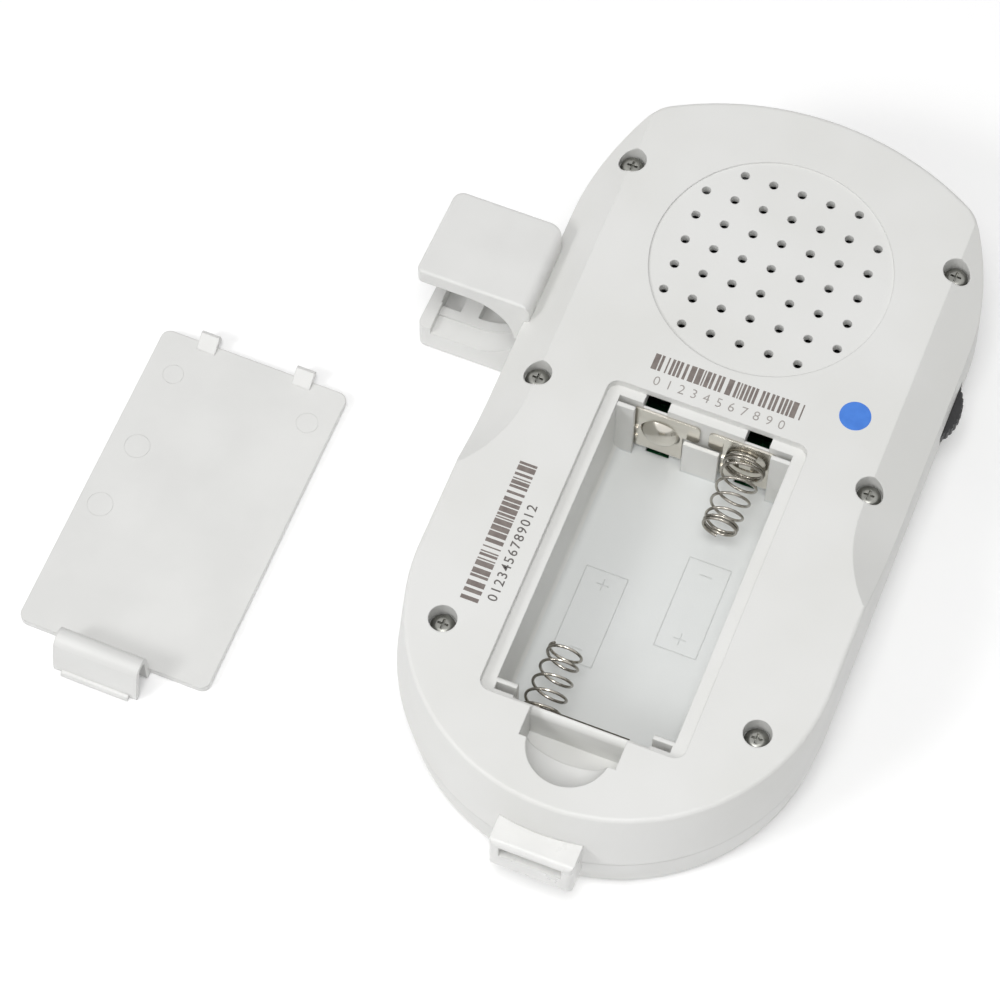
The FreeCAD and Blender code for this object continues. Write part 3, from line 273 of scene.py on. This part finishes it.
# %% [markdown]
# ## The covers: spark-eroded ABS
# ABS comes out of the mould as a warm white. The outside of the mould is spark-eroded, which
# leaves a matt grain. The floor of the battery bay is left polished, because batteries slide
# on it, so there the plastic is glossier. Its colour there is painted a little darker and
# cooler, as painted shade in the deep bay. A mask keeps both in one material, as they are
# one moulding.

# %% Covers
ABS_IOR = 1.53
BAY_FLOOR_POLISH_AND_SHADE = ((-15.2, -50.9, 5.0), (15.2, 7.3, 8.6))

# Real erosion pits are nearer 0.1 mm across. They are drawn coarser, so that they show.
abs_cover = surface("abs_spark_eroded_warm_white", ("#DCDCD9", "#E1E1DF"), tone_mm=24.0,
                    roughness=(0.40, 0.50), grain_mm=0.28, grain_depth_mm=0.010, edge_mm=0.3,
                    IOR=ABS_IOR)
# Polished gloss, and a darker, cooler colour that is painted shade in the deep bay.
patch(abs_cover, within(abs_cover, *BAY_FLOOR_POLISH_AND_SHADE), "#D8DAD9", gloss=0.32)
print("cover plastic with a polished bay")

# %% [markdown]
# ## The white fittings: smooth ABS
# The probe holder, the strap eye and the battery door come from smoother moulds, so they
# shine more than the covers. Long faint flow marks show in their gloss rather than in their
# colour. The eye gets a copy of the same white a shade lighter: painted light, for the
# brighter light that falls on it.

# %% White fittings
abs_fitting = surface("abs_smooth_moulded_white", ("#DADAD8", "#DFDFDD"), tone_mm=14.0,
                      roughness=(0.28, 0.36), grain_mm=0.9, grain_depth_mm=0.006, edge_mm=0.3,
                      IOR=ABS_IOR)
# A lighter copy of the fitting white: painted light on the strap eye.
abs_eye_painted_lighter = surface("abs_smooth_moulded_white_painted_lighter", ("#DFDFDD", "#E4E4E2"), tone_mm=6.0,
                  roughness=(0.26, 0.38), grain_mm=0.6, grain_depth_mm=0.005, edge_mm=0.3,
                  IOR=ABS_IOR)
print("two smooth whites")

# %% [markdown]
# ## Battery contacts: nickel-plated spring steel
# Nickel is a slightly yellow mirror. The strip is rolled before it is plated, so fine lines
# run along it: noise that is stretched one way draws them. The springs are drawn through a
# die, which leaves them smoother. Their colour is painted darker and greyer, as painted dark
# reflections of the room. A mask colours the top edge of the bridge plate dark and dull.

# %% Contacts and springs
BRIDGE_TOP_EDGE = ((-7.5, -50.2, 22.8), (8.5, -49.3, 23.1))

nickel_strip = surface("nickel_plated_steel_rolled", ("#CECAC0", "#DAD6CD"), tone_mm=5.0,
                       roughness=(0.14, 0.26), grain_mm=0.18, grain_depth_mm=0.004, edge_mm=0.08,
                       stretch=(0.15, 1, 1), Metallic=1.0)
# A mask colours the top edge of the bridge plate dark and makes it dull.
patch(nickel_strip, within(nickel_strip, *BRIDGE_TOP_EDGE), "#4A4640", gloss=0.6)
# The wire's colour is darkened: painted dark reflections of the room around it.
nickel_wire_painted_dark = surface("nickel_plated_wire_painted_dark_reflections", ("#98948C", "#ADA9A1"), tone_mm=1.6,
                      roughness=(0.1, 0.2), grain_mm=0.12, grain_depth_mm=0.002, edge_mm=0.1,
                      Metallic=1.0)
print("nickel strip and nickel wire")

# %% [markdown]
# ## Screws: zinc-plated steel
# Zinc plate is greyer and duller than nickel, with a faint milky cloud from its clear
# passivation, and the stamped heads are a little rough. A cloud of 1.2 mm gives each head
# two or three patches of tone.

# %% Screws
zinc_screw = surface("zinc_plated_steel_stamped", ("#7E7E7A", "#90908B"), tone_mm=1.2,
                     roughness=(0.26, 0.4), grain_mm=0.15, grain_depth_mm=0.006, edge_mm=0.1,
                     Metallic=1.0)
print("zinc-plated screws")

# %% [markdown]
# ## Volume wheel and black mouldings
# The wheel is black ABS with a satin face. Sockets and switches are a harder black nylon,
# and chips are epoxy filled with glass grit. The grit could be particles, but cells of
# noise, cut off close to their middles, give the same pale specks. The chips' pins leave
# the body sideways, below its underside, and are dipped in tin.

# %% Black mouldings
GRIT_SPACING_MM = 0.35
GRIT_REACH = 0.16
CHIP_PINS = (
    ((-15.2, 15.0, 6.1), (-14.1, 27.0, 6.62)), ((-3.9, 15.0, 6.1), (-2.9, 27.0, 6.62)),
    ((6.9, 16.0, 6.1), (7.9, 22.0, 6.62)), ((12.1, 16.0, 6.1), (13.1, 22.0, 6.62)),
)

wheel_black = surface("abs_satin_moulded_black", ("#141416", "#1E1E20"), tone_mm=3.0,
                      roughness=(0.38, 0.5), grain_mm=0.2, grain_depth_mm=0.008, IOR=ABS_IOR)
socket_nylon = surface("nylon_glass_filled_black", ("#161617", "#202022"), tone_mm=2.0,
                       roughness=(0.42, 0.6), grain_mm=0.12, grain_depth_mm=0.006, IOR=1.53)
chip_epoxy = surface("epoxy_moulded_chip_black", ("#1A1A1C", "#242426"), tone_mm=1.2,
                     roughness=(0.5, 0.66), grain_mm=0.1, grain_depth_mm=0.005, IOR=1.55)
specks = add(chip_epoxy["tree"], "TexVoronoi", {"Vector": chip_epoxy["where"],
                                                "Scale": per_metre(GRIT_SPACING_MM)})
grit = add(chip_epoxy["tree"], "Math", {0: specks.outputs["Distance"], 1: GRIT_REACH},
           operation="LESS_THAN")
patch(chip_epoxy, grit.outputs[0], "#4A4A4C")
for pins in CHIP_PINS:
    patch(chip_epoxy, within(chip_epoxy, *pins), "#B9BAB8", gloss=0.35)
print("wheel, sockets and chips with", len(CHIP_PINS), "rows of pins")

# %% [markdown]
# ## Loudspeaker
# Inside sit a pressed steel basket under black paint, a sintered ferrite magnet between
# steel plates, a black paper cone with long fibres, and a ring of open foam. The foam's
# bubbles could be modelled, but at this size cells in the bump are enough: each is half a
# millimetre wide and sinks to a pit in its middle.

# %% Loudspeaker finishes
MAGNET_PLATE = ((-10, 26, 11.0), (10, 46, 12.4))
FOAM_CELL_MM = 0.45
FOAM_CELL_DEPTH_MM = 0.08

basket_paint = surface("steel_pressed_black_paint", ("#1C1C1E", "#29292B"), tone_mm=4.0,
                       roughness=(0.32, 0.46), grain_mm=0.5, grain_depth_mm=0.01, IOR=1.5)

ferrite = surface("ferrite_sintered_grey", ("#2B2B2D", "#3A3A3B"), tone_mm=2.5,
                  roughness=(0.6, 0.8), grain_mm=0.2, grain_depth_mm=0.012)
steel_plate = within(ferrite, *MAGNET_PLATE)
patch(ferrite, steel_plate, "#A7A9A8", gloss=0.38)
ferrite["tree"].links.new(steel_plate, ferrite["shader"].inputs["Metallic"])

cone_paper = surface("paper_pressed_black", ("#17171A", "#262628"), tone_mm=1.5,
                     roughness=(0.82, 0.95), grain_mm=0.22, grain_depth_mm=0.02,
                     stretch=(1, 0.4, 1), Sheen_Weight=0.2)

foam_ring = surface("foam_open_cell_black", ("#19191A", "#2A2A2A"), tone_mm=1.0,
                    roughness=(0.85, 0.95), grain_mm=0.4, grain_depth_mm=FOAM_CELL_DEPTH_MM,
                    Sheen_Weight=0.3)
cells = add(foam_ring["tree"], "TexVoronoi", {"Vector": foam_ring["where"],
                                              "Scale": per_metre(FOAM_CELL_MM)})
foam_ring["tree"].links.new(cells.outputs["Distance"], foam_ring["relief"].inputs["Height"])
print("loudspeaker in four finishes")

# %% [markdown]
# ## Circuit board and what stands on it
# Glass-epoxy board shows green through its solder mask, with copper tracks as slightly
# lighter lines on a 1.27 mm pitch. A wall of long bricks has just such lines as its mortar:
# at a scale of one millimetre, the bricks' own sizes are in millimetres. The capacitors are
# drawn aluminium cans in a dark sleeve, the crystal sits in a brushed steel can, and the
# volume control's aluminium shaft is turned, which leaves fine rings round it.

# %% Board and cans
TRACK_PITCH_MM = 1.27
TRACK_LENGTH_MM = 7.6
TRACK_MM = 0.16
SLEEVE = ((-40, 0, 5.5), (40, 70, 12.9))

board_mask = surface("glass_epoxy_green_solder_mask", ("#14472A", "#1A5333"), tone_mm=8.0,
                     roughness=(0.2, 0.34), grain_mm=0.4, grain_depth_mm=0.006, Coat_Weight=0.3,
                     Coat_Roughness=0.15)
tracks = add(board_mask["tree"], "TexBrick",
             {"Vector": board_mask["where"], "Scale": per_metre(1.0), "Mortar Size": TRACK_MM,
              "Brick Width": TRACK_LENGTH_MM, "Row Height": TRACK_PITCH_MM,
              "Color1": BLACK, "Color2": BLACK, "Mortar": WHITE})
patch(board_mask, tracks.outputs["Color"], "#2C6B45")

can_sleeve = surface("aluminium_can_drawn", ("#B4B6B8", "#C8CACB"), tone_mm=3.0,
                     roughness=(0.25, 0.4), grain_mm=0.15, grain_depth_mm=0.004,
                     stretch=(1, 1, 0.2), Metallic=1.0)
sleeve = within(can_sleeve, *SLEEVE)
patch(can_sleeve, sleeve, "#20242C", gloss=0.35)
bare = add(can_sleeve["tree"], "Math", {0: 1.0, 1: sleeve}, operation="SUBTRACT")
can_sleeve["tree"].links.new(bare.outputs[0], can_sleeve["shader"].inputs["Metallic"])

crystal_can = surface("steel_can_brushed", ("#AEB0B1", "#C4C6C6"), tone_mm=3.0,
                      roughness=(0.22, 0.36), grain_mm=0.12, grain_depth_mm=0.004,
                      stretch=(0.15, 1, 1), Metallic=1.0)
pot_shaft = surface("aluminium_turned", ("#B9BABB", "#CCCDCE"), tone_mm=2.0,
                    roughness=(0.24, 0.34), grain_mm=0.1, grain_depth_mm=0.004,
                    stretch=(0.2, 0.2, 3), Metallic=1.0)
print("board, cans and shaft")

# %% [markdown]
# ## Display
# A clear acrylic window covers a liquid-crystal glass, whose polariser gives it the grey
# green of an unlit display. Its pixels could be modelled one by one, but a brick pattern
# without offset draws the same fine squares and stays sharp at any distance.

# %% Window and display glass
ACRYLIC_IOR = 1.49
PIXEL_MM = 0.8
PIXEL_GAP_MM = 0.04

window_acrylic = surface("acrylic_moulded_clear", ("#F2F6F6", "#F8FAFA"), tone_mm=12.0,
                         roughness=(0.02, 0.06), grain_mm=2.0, grain_depth_mm=0.001,
                         IOR=ACRYLIC_IOR, Transmission_Weight=1.0)
display_glass = surface("liquid_crystal_glass_polarised", ("#7F8C7A", "#8A9785"), tone_mm=18.0,
                        roughness=(0.08, 0.16), grain_mm=1.0, grain_depth_mm=0.001, IOR=1.52)
pixels = add(display_glass["tree"], "TexBrick",
             {"Vector": display_glass["where"], "Scale": per_metre(1.0),
              "Mortar Size": PIXEL_GAP_MM, "Brick Width": PIXEL_MM, "Row Height": PIXEL_MM,
              "Color1": BLACK, "Color2": BLACK, "Mortar": WHITE}, offset=0.0)
patch(display_glass, pixels.outputs["Color"], "#76836F")
print("display with pixels of", PIXEL_MM, "mm")

# %% [markdown]
# ## Behind the display
# A milky light guide carries a grid of moulded dots that scatter its light. Noise cells with
# no randomness are such a grid. A rubber strip of alternating pink insulating layers and
# black carbon layers joins the glass to the board, and a wave cut at half height draws them.

# %% Light guide and connector
DOT_SPACING_MM = 1.2
DOT_REACH = 0.25
LAYER_PAIR_MM = 0.754
WAVES_PER_UNIT = 20 / (2 * math.pi)  # how often a Wave node repeats at a scale of 1

light_guide = surface("acrylic_milky_light_guide", ("#E4EAE4", "#EEF2EE"), tone_mm=9.0,
                      roughness=(0.2, 0.3), grain_mm=0.8, grain_depth_mm=0.004, IOR=ACRYLIC_IOR)
dots = add(light_guide["tree"], "TexVoronoi",
           {"Vector": light_guide["where"], "Scale": per_metre(DOT_SPACING_MM), "Randomness": 0.0})
dot = add(light_guide["tree"], "Math", {0: dots.outputs["Distance"], 1: DOT_REACH},
          operation="LESS_THAN")
patch(light_guide, dot.outputs[0], "#FFFFFF", gloss=0.5)

zebra_strip = surface("silicone_layered_strip", ("#C49AA4", "#CFA6B0"), tone_mm=2.0,
                      roughness=(0.5, 0.6), grain_mm=0.3, grain_depth_mm=0.004, IOR=1.41)
layers = add(zebra_strip["tree"], "TexWave",
             {"Vector": zebra_strip["where"], "Scale": per_metre(LAYER_PAIR_MM * WAVES_PER_UNIT)})
carbon = add(zebra_strip["tree"], "Math", {0: layers.outputs["Fac"], 1: 0.5},
             operation="GREATER_THAN")
patch(zebra_strip, carbon.outputs[0], "#2A2628")
print("light guide and layered strip")

# %% [markdown]
# ## Buttons
# The three buttons are a glossy pale blue plastic, polished by the mould. A slight swirl of
# 4 mm stands for the colour that was mixed into the granules, where one flat blue would
# look like paint.

# %% Buttons
button_gloss = surface("abs_polished_pale_blue", ("#86A9C6", "#93B4CE"), tone_mm=4.0,
                       roughness=(0.14, 0.24), grain_mm=0.8, grain_depth_mm=0.002, IOR=ABS_IOR)
print("pale blue buttons")

# %% [markdown]
# ## Dress the CAD pieces
# Each CAD node already has its shape, so it only needs its finish. Each finish is listed
# once, with all the pieces that are made that way, and goes into their own material slots.

# %% Dress the pieces
DRESS = (
    (abs_cover, "rear_cover front_cover"),
    (abs_fitting, "probe_holder battery_door"),
    (abs_eye_painted_lighter, "strap_eye"),
    (zinc_screw, "case_screws board_screws speaker_screws"),
    (nickel_strip, "positive_contact negative_contact bridge_contact"),
    (nickel_wire_painted_dark, "negative_spring bridge_spring"),
    (foam_ring, "speaker_gasket"),
    (basket_paint, "speaker_frame"),
    (ferrite, "speaker_magnet"),
    (cone_paper, "speaker_cone"),
    (wheel_black, "volume_wheel"),
    (pot_shaft, "wheel_shaft"),
    (socket_nylon, "volume_potentiometer headphone_jack probe_socket button_switches "
                   "power_plunger mode_plunger light_plunger"),
    (board_mask, "main_board"),
    (chip_epoxy, "processor_chip amplifier_chip"),
    (can_sleeve, "capacitors"),
    (crystal_can, "crystal"),
    (window_acrylic, "lcd_window"),
    (display_glass, "lcd_glass"),
    (light_guide, "lcd_backlight"),
    (zebra_strip, "lcd_connector"),
    (button_gloss, "power_button mode_button light_button"),
)
dressed = [(node, finish) for finish, nodes in DRESS for node in nodes.split()]
for node, finish in dressed:
    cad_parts[node].material_slots[0].material = finish["material"]
print("dressed", len(dressed), "of", len(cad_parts), "nodes in", len(DRESS), "finishes")

# %% [markdown]
# ## New pieces
# The ink and the mould marks are thin solids that lie on the CAD surfaces. They could be
# painted by a material, but then they would be lost with it, so each is a closed mesh. It
# starts as a bmesh, and one function turns that into a piece and puts it on its body. A
# slab is the closed box that bars and lines are made of.

# %% New pieces
SLAB_FACES = ((3, 2, 1, 0), (4, 5, 6, 7), (0, 1, 5, 4), (1, 2, 6, 5), (2, 3, 7, 6), (3, 0, 4, 7))
BURIED = 0.02


def piece_from(name, shape, finish, body):
    """Makes a piece from a finished bmesh, gives it its material and puts it on a body."""
    mesh = bpy.data.meshes.new(name)
    bmesh.ops.recalc_face_normals(shape, faces=shape.faces)
    shape.to_mesh(mesh)
    shape.free()
    mesh.materials.append(finish["material"])
    piece = bpy.data.objects.new(name, mesh)
    bpy.context.scene.collection.objects.link(piece)
    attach(piece, body)
    return piece


def slab(shape, x0, x1, y0, y1, z0, z1):
    """A closed box in millimetres, added to a shape."""
    corners = [shape.verts.new(Vector((x, y, z)) * MM) for z in (z0, z1) for x, y in
               ((x0, y0), (x1, y0), (x1, y1), (x0, y1))]
    for face in SLAB_FACES:
        shape.faces.new([corners[i] for i in face])


print("new pieces reach", BURIED, "mm into what they lie on")

# %% [markdown]
# ## Ink
# Pad printing lays a matt film of ink a few hundredths of a millimetre thick, slightly
# uneven where the pad lifted off. Three of the inks are a brown grey in three strengths,
# and one is a glossier blue.

# %% Ink
BACK_Z = 25.0
INK_FILM = 0.03

ink_brown = surface("pad_print_ink_brown_grey", ("#6F6662", "#7F7772"), tone_mm=1.2,
                    roughness=(0.5, 0.62), grain_mm=0.15, grain_depth_mm=0.002, edge_mm=0.02)
ink_dark = surface("pad_print_ink_dark_grey", ("#565250", "#625E5B"), tone_mm=1.2,
                   roughness=(0.5, 0.62), grain_mm=0.15, grain_depth_mm=0.002, edge_mm=0.02)
ink_pale = surface("pad_print_ink_pale_grey", ("#96918D", "#A29D99"), tone_mm=1.2,
                   roughness=(0.5, 0.62), grain_mm=0.15, grain_depth_mm=0.002, edge_mm=0.02)
ink_blue = surface("pad_print_ink_blue", ("#3D78D2", "#4480DA"), tone_mm=1.5,
                   roughness=(0.3, 0.4), grain_mm=0.2, grain_depth_mm=0.002, edge_mm=0.02)
print("four inks")

# %% [markdown]
# ## Strips of bars
# Two strips of thin and wide bars are printed on the back. They are plain decoration:
# their widths come from a seeded shuffle and say nothing. Typing the widths in would do
# too, but a shuffle is shorter and spells nothing.

# %% Strips of bars
BAR_MODULE = 0.23
STRIP_LENGTH = 26.2
BAR_MODULES = (1, 2, 2, 3, 4)
GAP_MODULES = (1, 1, 1, 2, 3)
END_MODULES = 3


def bar_widths(seed):
    """Start and end of each bar along a strip, shuffled from thin, middle and wide ones."""
    shuffle = random.Random(seed)
    place, bars = 0.0, []
    while place < STRIP_LENGTH - END_MODULES * BAR_MODULE:
        width = BAR_MODULE * shuffle.choice(BAR_MODULES)
        bars.append((place, min(place + width, STRIP_LENGTH)))
        place += width + BAR_MODULE * shuffle.choice(GAP_MODULES)
    return bars


def bar_strip(name, origin, height, seed, upright):
    """A strip of bars along X, or along Y where it is upright."""
    shape = bmesh.new()
    x, y = origin
    bars = bar_widths(seed)
    for start, end in bars:
        if upright:
            slab(shape, x, x + height, y + start, y + end, BACK_Z - BURIED, BACK_Z + INK_FILM)
        else:
            slab(shape, x + start, x + end, y, y + height, BACK_Z - BURIED, BACK_Z + INK_FILM)
    piece_from(name, shape, ink_brown, "casing")
    print(name, "has", len(bars), "bars")


bar_strip("print_bars_top", (-11.8, 11.3), height=2.95, seed=5, upright=False)
bar_strip("print_bars_side", (-25.1, -37.8), height=3.0, seed=11, upright=True)

# %% [markdown]
# ## Rows of digits
# Plain counting digits run beside each strip. Blender's own font makes them as a text
# curve with a thickness, and the curve becomes a mesh, so that it is exported like any
# other piece. A small negative offset thins the upper row's strokes.

# %% Rows of digits
WELD = 1e-7


def digits(name, words, finish, origin, size, spacing, turn, stroke):
    """A row of plain counting digits as a thin solid film."""
    letters = bpy.data.curves.new(name, "FONT")
    letters.body = words
    letters.size = size * MM
    letters.space_character = spacing
    letters.extrude = INK_FILM / 2 * MM
    letters.offset = stroke * MM
    letters.resolution_u = 3
    row = bpy.data.objects.new(name + "_curve", letters)
    bpy.context.scene.collection.objects.link(row)
    bpy.context.view_layer.update()
    evaluated = row.evaluated_get(bpy.context.evaluated_depsgraph_get())
    mesh = bpy.data.meshes.new_from_object(evaluated)
    bpy.data.objects.remove(row)
    shape = bmesh.new()
    shape.from_mesh(mesh)
    bmesh.ops.remove_doubles(shape, verts=shape.verts, dist=WELD)
    bmesh.ops.rotate(shape, verts=shape.verts, cent=(0, 0, 0),
                     matrix=Matrix.Rotation(math.radians(turn), 3, "Z"))
    place = Vector((origin[0], origin[1], BACK_Z + INK_FILM / 2)) * MM
    bmesh.ops.translate(shape, verts=shape.verts, vec=place)
    piece_from(name, shape, finish, "casing")
    print(name, "has", len(words), "digits")


digits("print_digits_top", "01234567890", ink_pale, (-10.6, 8.7),
       size=2.4, spacing=1.78, turn=0, stroke=-0.02)
digits("print_digits_side", "0123456789012", ink_dark, (-19.5, -36.6),
       size=2.3, spacing=1.22, turn=90, stroke=0.01)

# %% [markdown]
# ## Blue disc
# A round blue spot of ink sits near the volume wheel. It is a low cone rather than a
# straight cylinder, because wet ink draws in at its rim.

# %% Blue disc
DISC_CENTRE = (21.8, 15.4)
DISC_RADIUS = 2.6
DISC_DRAW_IN = 0.02

shape = bmesh.new()
bmesh.ops.create_cone(shape, cap_ends=True, segments=72, radius1=DISC_RADIUS * MM,
                      radius2=(DISC_RADIUS - DISC_DRAW_IN) * MM, depth=(INK_FILM + BURIED) * MM)
middle = Vector((*DISC_CENTRE, BACK_Z + (INK_FILM - BURIED) / 2)) * MM
bmesh.ops.translate(shape, verts=shape.verts, vec=middle)
piece_from("print_disc", shape, ink_blue, "casing")
print("disc of", 2 * DISC_RADIUS, "mm")

# %% [markdown]
# ## Ejector marks on the door
# Round pins push the door out of its mould and leave faint rings on its inner face. A bump
# pattern could show them, but they are so few that thin rings of real height are simpler,
# and they are put on the door.

# %% Ejector marks
DOOR_INNER_Z = 1.6
RING_WIDTH = 0.1
RING_HEIGHT = 0.02
RING_STEPS = 64
EJECTOR_PINS = ((-89.2, -7.6, 1.8), (-89.3, -22.2, 2.2), (-90.6, -34.3, 2.2), (-64.8, -7.7, 1.9))


def ring(shape, x, y, radius):
    """A low raised ring with a square section on the door, in millimetres."""
    foot, top, inside = DOOR_INNER_Z - BURIED, DOOR_INNER_Z + RING_HEIGHT, radius - RING_WIDTH
    turns = [2 * math.pi * i / RING_STEPS for i in range(RING_STEPS)]
    section = ((radius, foot), (radius, top), (inside, top), (inside, foot))
    rows = [[shape.verts.new(Vector((x + r * math.cos(a), y + r * math.sin(a), z)) * MM)
             for a in turns] for r, z in section]
    for row, upper in enumerate(rows):
        lower = rows[(row + 1) % len(rows)]
        for i in range(RING_STEPS):
            j = (i + 1) % RING_STEPS
            shape.faces.new([upper[i], upper[j], lower[j], lower[i]])


marks = bmesh.new()
for x, y, radius in EJECTOR_PINS:
    ring(marks, x, y, radius)
piece_from("door_ejector_rings", marks, abs_fitting, "door")
print(len(EJECTOR_PINS), "ejector rings")

# %% [markdown]
# ## How the cells lie
# On the bay's floor the mould raises a plain outline of each cell, with a plus bar and a
# minus bar that show how it lies. They are hairlines, too low to hold a cell off the floor,
# so they belong to the finish and not to the CAD model. Lines that cross differ by a few
# thousandths of a millimetre in height, so that no two faces share a plane.

# %% Cell outlines
BAY_FLOOR_Z = 8.0
LINE = 0.22
LINE_HEIGHT = 0.02
CROSSING_STEP = 0.005
CELL_HALF_WIDTH = 3.6
CELL_HALF_LENGTH = 8.4
SIGN = 1.1
SIGN_INSET = 2.4
CELLS = ((7.5, -18.4, -1), (-7.5, -26.0, 1))  # middle, and which end is the plus
line_top = BAY_FLOOR_Z + LINE_HEIGHT
bay_marks = bmesh.new()


def line_along_x(x, y, half_length, top):
    slab(bay_marks, x - half_length, x + half_length, y - LINE / 2, y + LINE / 2,
         BAY_FLOOR_Z - BURIED, top)


def line_along_y(x, y, half_length, top):
    slab(bay_marks, x - LINE / 2, x + LINE / 2, y - half_length, y + half_length,
         BAY_FLOOR_Z - BURIED, top)


for x, y, up in CELLS:
    for side in (-1, 1):
        line_along_y(x + side * CELL_HALF_WIDTH, y, CELL_HALF_LENGTH, line_top)
        line_along_x(x, y + side * CELL_HALF_LENGTH, CELL_HALF_WIDTH, line_top - CROSSING_STEP)
        line_along_x(x, y + side * (CELL_HALF_LENGTH - SIGN_INSET), SIGN, line_top)
    line_along_y(x, y + up * (CELL_HALF_LENGTH - SIGN_INSET), SIGN, line_top - CROSSING_STEP)
piece_from("bay_polarity_marks", bay_marks, abs_cover, "casing")
print("outlines of", len(CELLS), "cells")
